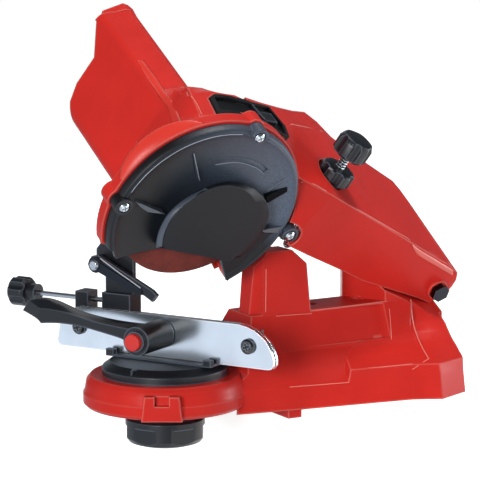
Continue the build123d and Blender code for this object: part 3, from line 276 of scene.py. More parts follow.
def finish_for(name):
    """The finish by its key, made on first use."""
    colours = bpy.context.scene.sharpener_finish
    sizes = bpy.context.scene.sharpener_sizes
    if name in MATERIALS:
        return MATERIALS[name]
    red = tuple(colours.red)
    black = tuple(colours.black)
    recipes = {
        # glass-filled nylon from a finely eroded tool: satin, its edges painted a pale pink as a highlight line
        "housing": lambda: moulded("glass filled nylon moulded red", red, sizes.housing_edge, 0.9, 0.00003, 0.34,
                                   0.45, linear("#E88A80"), 0.12),
        # the same nylon painted pale, on beads along the housing's edges: a painted highlight line
        "edge": lambda: moulded("glass filled nylon red painted highlight line", linear("#E2695C"), 0.0002, 0.5, 0.00001, 0.3,
                                0.3, linear("#F0A79E"), 0.4),
        # a broad fillet: glossier than the flats and painted a little lighter as a highlight band
        "fillet": lambda: moulded("glass filled nylon moulded red fillet painted highlight", linear("#D8382C"), sizes.housing_edge, 0.9,
                                  0.00002, 0.32, 0.3, linear("#E88A80"), 0.3),
        # ABS moulded smooth: glossier than the housing
        "cap": lambda: moulded("ABS moulded red", tuple(colours.cap_red), sizes.small_edge, 0.5, 0.00001, 0.3, 0.3),
        # ABS with a coarse eroded grain that breaks light into fine specks, with a painted blue-grey sheen towards
        # its right and top
        "guard": lambda: moulded("ABS moulded black grained", linear("#0B0D10"), 0.0012, 0.8, 0.00012, 0.42, 0.12,
                                 linear("#6E7A8A"), 0.36, (-0.165, -0.07, 0.108, 0.128, linear("#5F6C7F"))),
        # the cover is moulded smoother than the guard round it
        "cover": lambda: moulded("ABS moulded black satin", black, 0.0009, 0.6, 0.00003, 0.45, 0.12,
                                 linear("#5A6270"), 0.2),
        # floor of a pocket: the same ABS, matt, darkened to 0.4 as painted shade
        "pocket": lambda: moulded("ABS moulded black painted shade", shade(black, 0.4), 0.0005, 0.8, 0.00004, 0.6, 0.2,
                                  linear("#33363C"), 0.05),
        # lip painted pale: a fine painted highlight line
        "lip": lambda: moulded("ABS painted highlight line", linear("#8792A0"), 0.0002, 0.4, 0.00001, 0.3, 0.2,
                               linear("#A8B2C0"), 0.5),
        # bevel painted paler as a highlight, with a soft sheen from its gloss
        "flank": lambda: moulded("ABS moulded black bevel painted highlight", linear("#434B57"), 0.0006, 0.8, 0.00006, 0.35, 0.2,
                                 linear("#6F7988"), 0.5),
        # rib painted a dull grey: a dimmer painted highlight line
        "lip_dim": lambda: moulded("ABS dim painted highlight line", linear("#4B525C"), 0.0002, 0.4, 0.00001, 0.35, 0.2,
                                   linear("#6F7988"), 0.5),
        # nylon knobs and lever: satin black, edges painted a blue-grey highlight
        "knob": lambda: moulded("nylon moulded black", black, sizes.small_edge, 0.6, 0.00003, 0.34, 0.45,
                                linear("#6E7A8A"), 0.4),
        # smooth ABS in the switch bay: darker than the other black parts as painted shade, little sheen
        "console": lambda: moulded("ABS moulded black switch bay painted shade", linear("#101115"), 0.0005, 0.6, 0.00003, 0.5, 0.15,
                                   linear("#33363C"), 0.15),
        # zinc plate on rolled steel: bright, faintly blue
        "zinc": lambda: metal("steel zinc plated", tuple(colours.zinc), sizes.metal_edge, 0.2, 0.8, (1, 1, 6)),
        # the same plate on small screws: a shade darker
        "screw": lambda: metal("steel zinc plated bright", shade(tuple(colours.zinc), 0.62), sizes.metal_edge,
                               0.26, 0.3),
        # turned steel: fine circular marks
        "steel": lambda: metal("steel turned", tuple(colours.steel), sizes.metal_edge, 0.28, 0.25),
        # black oxide: dark, edges painted brighter as a highlight
        "dark": lambda: metal("steel black oxide", tuple(colours.dark_steel), sizes.metal_edge, 0.36, 0.3),
        # paint on the jaw screws: black and shiny, edges at the recess painted light as a highlight
        "gloss_screw": lambda: moulded("steel painted black", linear("#17191D"), sizes.metal_edge, 0.5, 0.00001, 0.25,
                                       0.5, linear("#8A94A2"), 0.6),
        # corundum grit in resin: dark red-brown, matt, with paler grains
        "wheel": lambda: abrasive("corundum resin bonded", tuple(colours.wheel)),
        # rubber cord sleeve: dead matt
        "rubber": lambda: moulded("rubber moulded", linear("#1B1B1D"), sizes.small_edge, 0.5, 0.00003, 0.7, 0.2),
        # rolled thread: roots darkened between bright crests, a painted shade
        "depth_thread": lambda: threaded("steel rolled thread depth", tuple(colours.zinc), 0.3, 1.9, DEPTH_FRAME),
    }
    MATERIALS[name] = recipes[name]()
    return MATERIALS[name]


# ---------------------------------------------------------------- mesh work
def only(obj):
    """Selects just this object and makes it active, in object mode."""
    if bpy.context.object and bpy.context.object.mode != "OBJECT":
        bpy.ops.object.mode_set(mode="OBJECT")
    bpy.ops.object.select_all(action="DESELECT")
    obj.hide_viewport = False
    obj.select_set(True)
    bpy.context.view_layer.objects.active = obj


def dress(finish, *names):
    """Gives carried-over nodes their finish."""
    for name in names:
        for slot in NODES[name].material_slots:
            slot.material = finish_for(finish)


def blank(name, suffix="_skin"):
    """Free copy of a node's mesh with its loose triangles merged, to be worked on."""
    piece = bpy.data.objects.new(name + suffix, NODES[name].data.copy())
    bpy.context.scene.collection.objects.link(piece)
    only(piece)
    if piece.data.has_custom_normals:
        bpy.ops.mesh.customdata_custom_splitnormals_clear()
    bpy.ops.object.mode_set(mode="EDIT")
    bpy.ops.mesh.select_all(action="SELECT")
    bpy.ops.mesh.remove_doubles(threshold=0.00002)
    bpy.ops.mesh.dissolve_limited(angle_limit=math.radians(0.6))
    bpy.ops.mesh.normals_make_consistent(inside=False)
    bpy.ops.object.mode_set(mode="OBJECT")
    return piece


def complete(piece, finish, body, angle=35.0, stands_for=()):
    """Smooths what is soft, keeps what is sharp, gives the finish and the body to ride on."""
    only(piece)
    bpy.ops.object.shade_smooth_by_angle(angle=math.radians(angle))
    weigh = piece.modifiers.new("weigh", "WEIGHTED_NORMAL")
    weigh.keep_sharp = True
    bpy.ops.object.modifier_apply(modifier=weigh.name)
    piece.data.materials.clear()
    piece.data.materials.append(finish_for(finish))
    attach(piece, body)
    if stands_for:
        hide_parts(*stands_for)
    return piece


def moulding(name, finish, angle=38.0):
    """Stands in for a node with its loose triangles merged and its soft edges shaded smooth."""
    return complete(blank(name), finish, BODY_OF[name], angle, (name,))


def combine(piece, tool, operation):
    """Cuts a piece with a tool, or joins the two, and removes the tool."""
    only(piece)
    change = piece.modifiers.new("change", "BOOLEAN")
    change.operation = operation
    change.solver = "EXACT"
    change.object = tool
    bpy.ops.object.modifier_apply(modifier=change.name)
    bpy.data.objects.remove(tool)


def prism(name, points, low, high, place, top=None):
    """Round blank whose corners are moved onto an outline in mm, extruded, its far end on another outline."""
    bpy.ops.object.select_all(action="DESELECT")
    bpy.ops.mesh.primitive_circle_add(vertices=len(points), radius=1.0, fill_type="NGON")
    piece = bpy.context.object
    piece.name = name
    for vertex, (x, y) in zip(piece.data.vertices, points):
        vertex.co = (x / 1000, y / 1000, low / 1000)
    bpy.ops.object.mode_set(mode="EDIT")
    bpy.ops.mesh.select_all(action="SELECT")
    bpy.ops.mesh.extrude_region_move(TRANSFORM_OT_translate={"value": (0, 0, (high - low) / 1000)})
    bpy.ops.object.mode_set(mode="OBJECT")
    if top:
        far = [v for v in piece.data.vertices if abs(v.co.z - high / 1000) < 1e-6]
        for vertex in far:
            gaps = [math.hypot(vertex.co.x * 1000 - x, vertex.co.y * 1000 - y) for x, y in points]
            x, y = top[gaps.index(min(gaps))]
            vertex.co.x = x / 1000
            vertex.co.y = y / 1000
    bpy.ops.object.mode_set(mode="EDIT")
    bpy.ops.mesh.select_all(action="SELECT")
    bpy.ops.mesh.normals_make_consistent(inside=False)
    bpy.ops.object.mode_set(mode="OBJECT")
    piece.data.transform(place)
    return piece


def turned(name, profile, place, steps=96):
    """Ring spun about the axis from a closed profile of (radius, height) in mm."""
    bpy.ops.object.select_all(action="DESELECT")
    bpy.ops.mesh.primitive_circle_add(vertices=len(profile), radius=1.0, fill_type="NOTHING")
    piece = bpy.context.object
    piece.name = name
    for vertex, (r, z) in zip(piece.data.vertices, profile):
        vertex.co = (r / 1000, 0, z / 1000)
    bpy.ops.object.mode_set(mode="EDIT")
    bpy.ops.mesh.select_all(action="SELECT")
    bpy.ops.mesh.spin(steps=steps, angle=math.tau, center=(0, 0, 0), axis=(0, 0, 1))
    bpy.ops.mesh.select_all(action="SELECT")
    bpy.ops.mesh.remove_doubles(threshold=0.000002)
    bpy.ops.mesh.normals_make_consistent(inside=False)
    bpy.ops.object.mode_set(mode="OBJECT")
    piece.data.transform(place)
    return piece


def strand(name, points, radius_mm, place, finish, body, taper=()):
    """Fine moulded lip or soft bead along a run of points in mm."""
    curve = bpy.data.curves.new(name, "CURVE")
    curve.dimensions = "3D"
    curve.bevel_depth = radius_mm / 1000
    curve.bevel_resolution = 3
    curve.use_fill_caps = True
    line = curve.splines.new("POLY")
    line.points.add(len(points) - 1)
    for k, (x, y, z) in enumerate(points):
        line.points[k].co = (x / 1000, y / 1000, z / 1000, 1)
        if taper:
            line.points[k].radius = taper[k]
    lip = bpy.data.objects.new(name, curve)
    bpy.context.scene.collection.objects.link(lip)
    only(lip)
    bpy.ops.object.convert(target="MESH")
    lip = bpy.context.object
    lip.data.transform(place)
    return complete(lip, finish, body, 60)


def eased(points, count=6):
    """Finer run of points along a smooth curve through the given ones."""
    ends = [points[0]] + list(points) + [points[-1]]
    run = []
    for k in range(len(points) - 1):
        a, b, c, d = ends[k:k + 4]
        for step in range(count):
            t = step / count
            run.append(tuple(0.5 * (2 * q + (r - p) * t + (2 * p - 5 * q + 4 * r - s) * t * t
                                    + (3 * q - p - 3 * r + s) * t ** 3) for p, q, r, s in zip(a, b, c, d)))
    return run + [tuple(points[-1])]


def draped(name, rows, reach, count=5):
    """Block behind a smooth sheet through rows of points in mm, carried back by reach mm."""
    across = [eased(row, count) for row in rows]
    columns = [eased([row[k] for row in across], count) for k in range(len(across[0]))]
    wide, tall = len(columns), len(columns[0])
    bpy.ops.object.select_all(action="DESELECT")
    bpy.ops.mesh.primitive_grid_add(x_subdivisions=wide - 1, y_subdivisions=tall - 1, size=1.0)
    piece = bpy.context.object
    piece.name = name
    for k, vertex in enumerate(piece.data.vertices):
        vertex.co = Vector(columns[k % wide][k // wide]) / 1000
    bpy.ops.object.mode_set(mode="EDIT")
    bpy.ops.mesh.select_all(action="SELECT")
    bpy.ops.mesh.extrude_region_move(TRANSFORM_OT_translate={"value": tuple(c / 1000 for c in reach)})
    bpy.ops.mesh.select_all(action="SELECT")
    bpy.ops.mesh.normals_make_consistent(inside=False)
    bpy.ops.object.mode_set(mode="OBJECT")
    return piece


def cross_recess(piece, place, reach, width, depth):
    """Sinks a cross recess into a screw head; place puts its centre and axis, the head's top at z 0."""
    for turn in (0, 90):
        bpy.ops.object.select_all(action="DESELECT")
        bpy.ops.mesh.primitive_cube_add(size=1)
        tool = bpy.context.object
        bpy.ops.object.mode_set(mode="EDIT")
        bpy.ops.mesh.select_all(action="SELECT")
        bpy.ops.mesh.bevel(offset=0.12, segments=2)
        bpy.ops.object.mode_set(mode="OBJECT")
        shape = Matrix.Diagonal((reach * 2, width, depth * 2, 1))
        tool.data.transform(place @ Matrix.Rotation(math.radians(turn + 20), 4, "Z") @ shape)
        combine(piece, tool, "DIFFERENCE")


# ---------------------------------------------------------------- operators
# the middle of the machine, where the lamps point
AIM = Vector((-0.06, 0.0, 0.1))


class SHARPENER_OT_stage(bpy.types.Operator):
    """Pale bench, soft lamps and the camera."""
    bl_idname = "sharpener.stage"
    bl_label = "Stage"

    def execute(self, context):
        sizes = context.scene.sharpener_sizes
        lens = bpy.data.cameras.new("camera")
        camera = bpy.data.objects.new("camera", lens)
        context.scene.collection.objects.link(camera)
        camera.matrix_world = Matrix((
            (0.8686, 0.0775, -0.4894, -0.8281),
            (-0.4955, 0.1359, -0.8579, -1.3241),
            (0.0, 0.9877, 0.1564, 0.3483),
            (0, 0, 0, 1),
        ))
        lens.sensor_width = 36.0
        lens.lens = 176.23
        lens.clip_start = 0.1
        lens.clip_end = 50.0
        context.scene.camera = camera
        context.scene.view_settings.view_transform = "Standard"
        self.world(context, sizes.fill)
        # the bench ends where the base's lug hooks over it
        bpy.ops.object.select_all(action="DESELECT")
        bpy.ops.mesh.primitive_cube_add(size=1, location=(0, 0, 0))
        bench = context.object
        bench.name = "bench_top"
        bench.data.transform(Matrix.Translation((0.949, 0.0, -0.30)) @ Matrix.Diagonal((2.0, 3.0, 0.6, 1)))
        bench.data.materials.append(white_stage("board painted white"))
        # name, place, side of the square lamp, watts, colour
        self.lamp(context, "key", (-1.4, -1.0, 0.35), 0.6, sizes.key, "#FFFFFF")
        self.lamp(context, "top", (0.25, -0.25, 1.7), 0.4, sizes.top, "#FFFFFF")
        self.lamp(context, "right", (1.4, -0.4, 0.25), 0.5, sizes.right, "#F2F6FF")
        # a card seen only in reflections, for the pale lines along the red edges
        glint = self.lamp(context, "glint", (1.5, -0.42, 0.1), 0.5, sizes.right * 0.8, "#FFFFFF")
        glint.visible_diffuse = False
        self.lamp(context, "back", (0.5, 1.4, 1.2), 0.9, sizes.top * 0.2, "#FFFFFF")
        return {"FINISHED"}

    def lamp(self, context, name, place, size, power, code):
        light = bpy.data.lights.new(name, "AREA")
        light.shape = "SQUARE"
        light.size = size
        light.energy = power
        light.color = linear(code)[:3]
        lamp = bpy.data.objects.new(name, light)
        context.scene.collection.objects.link(lamp)
        aim = AIM - Vector(place)
        lamp.matrix_world = Matrix.Translation(place) @ aim.to_track_quat("-Z", "Y").to_matrix().to_4x4()
        return lamp

    def world(self, context, fill):
        world = bpy.data.worlds.new("studio")
        world.use_nodes = True
        tree = world.node_tree
        tree.nodes.clear()
        rays = add(tree, "ShaderNodeLightPath")
        glossy = add(tree, "ShaderNodeMath", links={0: rays.outputs["Is Camera Ray"],
                                                    1: rays.outputs["Is Glossy Ray"]}, operation="MAXIMUM")
        seen = add(tree, "ShaderNodeMath", links={0: glossy.outputs[0], 1: rays.outputs["Is Transmission Ray"]},
                   operation="MAXIMUM")
        soft = add(tree, "ShaderNodeBackground", {"Color": (1, 1, 1, 1), "Strength": fill})
        # reflections see a white card on the left and a dim, faintly blue room elsewhere
        where = add(tree, "ShaderNodeTexCoord")
        parts = add(tree, "ShaderNodeSeparateXYZ", links={0: where.outputs["Generated"]})
        card = add(tree, "ShaderNodeMapRange", {"From Min": -0.35, "From Max": -0.75, "To Min": 0.0, "To Max": 1.0},
                   {"Value": parts.outputs["X"]})
        low = add(tree, "ShaderNodeMapRange", {"From Min": 0.55, "From Max": 0.1, "To Min": 0.0, "To Max": 1.0},
                  {"Value": parts.outputs["Z"]})
        left = add(tree, "ShaderNodeMath", links={0: card.outputs[0], 1: low.outputs[0]}, operation="MULTIPLY")
        floor = add(tree, "ShaderNodeMapRange", {"From Min": -0.05, "From Max": -0.35, "To Min": 0.0, "To Max": 1.0},
                    {"Value": parts.outputs["Z"]})
        side = add(tree, "ShaderNodeMapRange", {"From Min": 0.45, "From Max": 0.05, "To Min": 0.0, "To Max": 1.0},
                   {"Value": parts.outputs["X"]})
        sweep = add(tree, "ShaderNodeMath", links={0: floor.outputs[0], 1: side.outputs[0]}, operation="MULTIPLY")
        shown = add(tree, "ShaderNodeMath", links={0: left.outputs[0], 1: sweep.outputs[0]}, operation="MAXIMUM")
        glow = add(tree, "ShaderNodeMapRange", {"To Min": 0.13, "To Max": 1.0}, {"Value": shown.outputs[0]})
        room = add(tree, "ShaderNodeBackground", {"Color": linear("#EAF2FF")}, {"Strength": glow.outputs[0]})
        paper = add(tree, "ShaderNodeBackground", {"Color": (1, 1, 1, 1), "Strength": 1.0})
        white = add(tree, "ShaderNodeMixShader", links={0: rays.outputs["Is Camera Ray"], 1: room.outputs[0],
                                                        2: paper.outputs[0]})
        mixed = add(tree, "ShaderNodeMixShader", links={0: seen.outputs[0], 1: soft.outputs[0], 2: white.outputs[0]})
        add(tree, "ShaderNodeOutputWorld", links={"Surface": mixed.outputs[0]})
        context.scene.world = world


# Runs on the base and the head are points in mm, in the machine's own frame.
# Scoop behind the rear near corner: rows from the plinth up, near ridge first.
COVE = [
    [(43.5, -51.5, 26.6), (50, -50, 27.2), (58, -50.5, 27), (64, -50, 26.5), (72, -49, 26)],
    [(41.5, -41, 30.8), (48, -41.0, 31.2), (57, -43.5, 30.5), (64, -44.6, 30), (74, -45, 29.5)],
    [(43.5, -31.5, 35.6), (49, -31.5, 36), (57, -33.6, 35.5), (65, -36.2, 34.5), (76, -37.5, 34)],
    [(46.5, -23.6, 42.5), (51, -23.4, 42.8), (58.5, -26.2, 42), (67, -28.0, 41), (78, -28.6, 40)],
    [(49.5, -19.2, 50.5), (53, -18.6, 50.8), (60, -20.6, 50), (68, -21.0, 49), (80, -21, 48)],
    [(51.5, -16.6, 58.5), (55, -15.6, 58.8), (61.5, -16.5, 58), (70, -16, 57), (82, -15, 56)],
    [(52.0, -14.6, 64.0), (55.5, -13.2, 64), (62, -13.5, 64), (70, -13, 64), (82, -12, 64)],
]
# folds and edges that carry a bead painted pale as a highlight line
BASE_LINES = {
    "panel_edge": [(32.3, -19.3, 54.2), (30.0, -25.1, 40.6), (28.0, -28.8, 35.0)],
    "plinth_edge": [(-16.6, -47.3, 23.0), (4.2, -51.5, 23.0), (27.8, -54.3, 23.2)],
    "skirt_edge": [(-60.2, -43.2, 15.1), (-39.1, -46.3, 14.9), (-18.6, -49.6, 14.9)],
    "ledge_edge": [(-56.7, -19.4, 57.7), (-42.9, -19.4, 57.3), (-29.1, -19.1, 56.7)],
    "post_bevel": [(-64.0, -19.0, 89.5), (-64.1, -19.0, 75.8), (-64.3, -19.0, 61.1)],
    "bay_edge": [(-29.3, -18.6, 58.7), (-6.3, -18.1, 58.8), (31.8, -17.0, 59.2)],
    "spur": [(27.4, -55.3, 19.8), (31.0, -56.4, 21.9), (37.4, -55.2, 24.3), (42.1, -53.6, 25.4)],
}
HEAD_LINES = {
    "ridge_front": [(-59.6, -54.6, 150.8), (-50.8, -56.0, 149.0), (-42.7, -57.8, 144.3), (-4.3, -48.4, 124.4),
                    (38.2, -34.4, 103.0)],
    "ridge_back": [(-52.8, -30.0, 185.2), (-30.2, -11.4, 180.3), (-2.9, 10.9, 173.6)],
    "barrel_crease": [(-137.9, -53.5, 209.2), (-138.1, -61.1, 205.1), (-139.7, -70.1, 199.5)],
}
# near ridge of the scoop, from the top down; its bead is painted pale as a highlight line
COVE_EDGE = [(52.4, -15.2, 58.0), (49.6, -20.9, 49.7), (48.9, -25.7, 39.6), (45.0, -39.9, 30.8), (41.2, -53.2, 25.9)]
# fillet down the barrel's upper edge, widening where it flares on to the chamber, painted lighter as a highlight band
FLARE_BAND = [
    [(-135.5, 24.0, 225.9), (-134.4, 22.0, 225.8), (-133.3, 20.0, 225.6)],
    [(-136.8, 8.0, 216.2), (-134.8, 5.5, 216.2), (-132.6, 3.5, 215.8)],
    [(-137.2, -4.6, 209.3), (-135.4, -6.5, 209.8), (-133.2, -7.2, 209.9)],
    [(-137.9, -15.6, 204.0), (-136.8, -19.5, 205.1), (-135.5, -21.6, 205.6)],
    [(-139.8, -25.7, 200.4), (-139.4, -30.5, 201.2), (-138.9, -34.4, 202.2)],
    [(-142.8, -35.2, 195.9), (-143.0, -41.2, 197.1), (-142.8, -45.4, 198.1)],
    [(-147.4, -46.4, 191.8), (-147.7, -53.5, 193.6), (-148.9, -60.6, 195.2)],
    [(-155.0, -61.8, 188.8), (-155.3, -66.9, 190.9), (-154.7, -72.3, 192.6)],
]
# soft shoulder between that fillet and the deck, from the barrel down to the chamber
SHOULDER = [
    [(-131.6, -6.0, 209.7), (-126.6, -6.8, 210.5), (-122.6, -10.6, 210.9), (-135.2, -43.6, 214.2)],
    [(-136.0, -16.8, 206.5), (-133.6, -22.2, 207.6), (-136.3, -37.7, 209.9), (-137.3, -48.3, 211.3)],
    [(-136.9, -26.3, 203.9), (-138.0, -36.5, 205.0), (-138.4, -45.1, 206.4), (-138.2, -53.0, 207.9)],
    [(-140.5, -39.3, 200.7), (-140.6, -48.1, 202.3), (-140.3, -55.4, 203.6), (-139.5, -60.9, 204.4)],
    [(-144.6, -50.4, 196.4), (-144.3, -58.6, 198.0), (-142.9, -64.9, 199.3), (-140.7, -68.9, 200.3)],
    [(-153.8, -68.0, 193.0), (-150.5, -71.3, 194.3), (-147.0, -73.4, 195.7), (-142.6, -74.3, 197.3)],
]
# chamfer along the arm's lower rear edge, painted pale as a highlight band
ARM_CHAMFER = [
    [(39.3, -35.3, 101.6), (49.6, -31.5, 96.7), (65.3, -26.0, 89.2), (83.3, -18.9, 80.6)],
    [(39.8, -35.8, 98.9), (47.1, -33.1, 94.2), (64.0, -28.1, 85.6), (81.8, -22.8, 76.5)],
    [(42.9, -33.4, 95.3), (47.8, -31.1, 91.1), (65.9, -25.6, 81.7), (82.9, -20.7, 73.3)],
]
# raised upper end of the barrel: its far outline, and the one where it sits, in the arm's frame
CROWN_END = [(-23.6, 26.2), (-26.5, 31.2), (-22.3, 36.8), (-17.4, 43.1), (-12.9, 43.8), (-7.4, 43.2), (10, 34.0),
             (24, 28), (24, 25.8)]
CROWN_SEAT = [(-26.2, 25.6), (-27.6, 31.2), (-22.8, 37.0), (-17.8, 42.0), (-13.5, 43.6), (-8, 42.0), (11, 35),
              (26, 28.5), (26, 25.2)]


class SHARPENER_OT_housings(bpy.types.Operator):
    """Red base and head mouldings."""
    bl_idname = "sharpener.housings"
    bl_label = "Housings"

    def execute(self, context):
        base = blank("base_housing")
        combine(base, draped("tool", COVE, (0, -60, 0)), "DIFFERENCE")
        complete(base, "housing", "base", 40, ("base_housing",))
        moulding("head_housing", "housing", 38)
        level = Matrix.Identity(4)
        # beads along folds and edges, painted pale as highlight lines
        for name, points in BASE_LINES.items():
            strand(name, eased(points, 3), 0.3, level, "edge", "base")
        for name, points in HEAD_LINES.items():
            strand(name, eased(points, 3), 0.3, level, "edge", "head")
        inward = (1.8, 3.8, -1.8)
        # the flare's fillet is painted lighter and the arm's chamfer pale, both painted highlights
        for name, rows, finish in (("flare_fillet", FLARE_BAND, "fillet"), ("flare_shoulder", SHOULDER, "housing"),
                                   ("arm_chamfer", ARM_CHAMFER, "edge")):
            complete(draped(name, rows, inward), finish, "head", 50)
        strand("cove_edge", eased(COVE_EDGE, 5), 0.45, level, "edge", "base")
        # the fillet behind the rim is painted lighter as a highlight band
        ring = draped("rim_fillet", self.rim_rows(), (0.4, -1.5, -2.0), 3)
        ring.data.transform(DISC_FRAME)
        complete(ring, "fillet", "head", 50)
        complete(prism("barrel_crown", CROWN_END, -160.6, -154.0, ARM_FRAME, CROWN_SEAT), "housing", "head", 40)
        dress("rubber", "cord_gland")
        return {"FINISHED"}

    def rim_rows(self):
        """Fillet behind the chamber's rim, dying out at both ends: rows of points from the rim back."""
        rows = [[], [], []]
        for k in range(13):
            angle = math.radians(104 + 52 * k / 12)
            swell = math.sin(math.pi * k / 12) ** 0.6
            radii = (67.6, 68.2 + 1.6 * swell, 68.4 + 3.4 * swell)
            heights = (4.8, 3.6 - 2 * swell, 3.2 - 7.0 * swell)
            for row, r, z in zip(rows, radii, heights):
                row.append((r * math.cos(angle), r * math.sin(angle), z))
        return rows


# Outlines of the guard are points in mm from the disc's centre, seen from the front.
SCREW_BOSSES = [(-61.0, 13.2), (20.8, 59.7), (66.7, -21.0)]
COVER_BASE = [(-30.3, -20.2), (-31.6, -11.8), (-31, -3.2), (-28.4, 5.5), (-23.5, 12.5), (-16.7, 18.4),
              (-7.7, 23.8), (3.5, 26.8), (15.2, 25.8), (27.5, 20.5), (37, 12.7), (42.9, 5), (46, -4),
              (45.3, -14.4), (41.5, -26.6), (34, -35.2)]
COVER_TOP = [(-27.2, -17.9), (-28.5, -9.5), (-28.1, -1.3), (-25.9, 6.6), (-22, 13.3), (-16, 19.3),
             (-7.6, 24.7), (1.6, 27.1), (10.3, 26.3), (20.2, 21.6), (28, 14.7), (33, 7.6), (35.8, -0.2),
             (36.2, -9.8), (33.4, -20.4), (28.6, -30.4)]
COVER_FOOT = [(24.2, -35.7), (11.3, -30.9), (-26.7, -19.6)]
# how far the skirt under the cover's rim runs in, and how far its flank does
SKIRT_IN = (3.57, -4.42)
FLANK_IN = (2.4, -3.0)
# where the wheel stands open below the guard
FIELD_MOUTH = [(-95, -10), (-53.7, -29.4), (-45.4, -29.5), (-20.5, -28.5), (12.8, -33.9), (24, -39.5),
               (33.2, -58.2), (48, -95), (-95, -95)]
ARC_GROOVE = [(-1, 36.6), (10.9, 37.4), (19.4, 36), (27.1, 32.9), (32, 30.2), (36.2, 26.8), (39.2, 28.9),
              (34.5, 33), (29.2, 36.2), (22.4, 38.9), (15.1, 40.4), (9, 40.8), (3, 40.2)]
NOTCH_FOOT = [(41.5, 9.6), (44.6, 3.6), (58.2, 12.6), (55.8, 17.2)]
NOTCH_TOP = [(42.0, 9.0), (44.7, 4.4), (57.4, 12.9), (55.6, 16.4)]
NOTCH_LIP = [(43.0, 12.6, 8.2), (56.4, 27.8, 10.0), (57.0, 19.6, 9.6)]
RIB_LEFT = [(-51.9, 14.3), (-47.7, 12.6), (-28.6, 2.9), (-41.9, 6.0), (-47.8, 10.3)]
RIB_RIGHT = [(45.0, -16.0), (61.0, -14.5), (62.0, -19.6), (47.5, -18.0)]
THIN_RIB = [(-19.0, 46.0, 8.0), (-10.2, 26.2, 6.6)]
THIN_RIB_LIP = [(-20.0, 47.6, 9.2), (-9.2, 25.4, 7.6)]
BEAK_BEVEL = [(22.6, -39.4, 9.6), (27.6, -48.2, 9.2), (32.4, -57.0, 8.8)]
# radius and height, from the boss inwards
FIELD_PROFILE = [(10, 3.8), (40, 4.2), (54, 7.0), (62.8, 8.6), (62.8, 12.0), (62.3, 11.9), (61.3, 10.9), (57, 9.2),
                 (49, 7.4), (40, 6.0), (30, 5.4), (10, 5.2)]
BOSS_RING = [(3.9, 5), (5.9, 5), (5.9, 13.6), (5.5, 14), (3.9, 14)]
RIM_HOLLOW = [(2, 3), (62.6, 3), (62.6, 20), (2, 20)]
RIM_LIP_R = 62.5
RIM_LIP_Z = 12.1
BEAK = [(44.6, -19.2), (57, -20.4), (54, -21), (49, -30), (41, -40.5), (32.6, -57.4), (22.6, -39.0), (24, -36),
        (38, -31), (43, -24)]


def grown(outline, by):
    """Outline moved out from its middle by so many mm, or in."""
    mid_x = sum(x for x, y in outline) / len(outline)
    mid_y = sum(y for x, y in outline) / len(outline)
    ring = []
    for x, y in outline:
        reach = math.hypot(x - mid_x, y - mid_y)
        ring.append((x + by * (x - mid_x) / reach, y + by * (y - mid_y) / reach))
    return ring


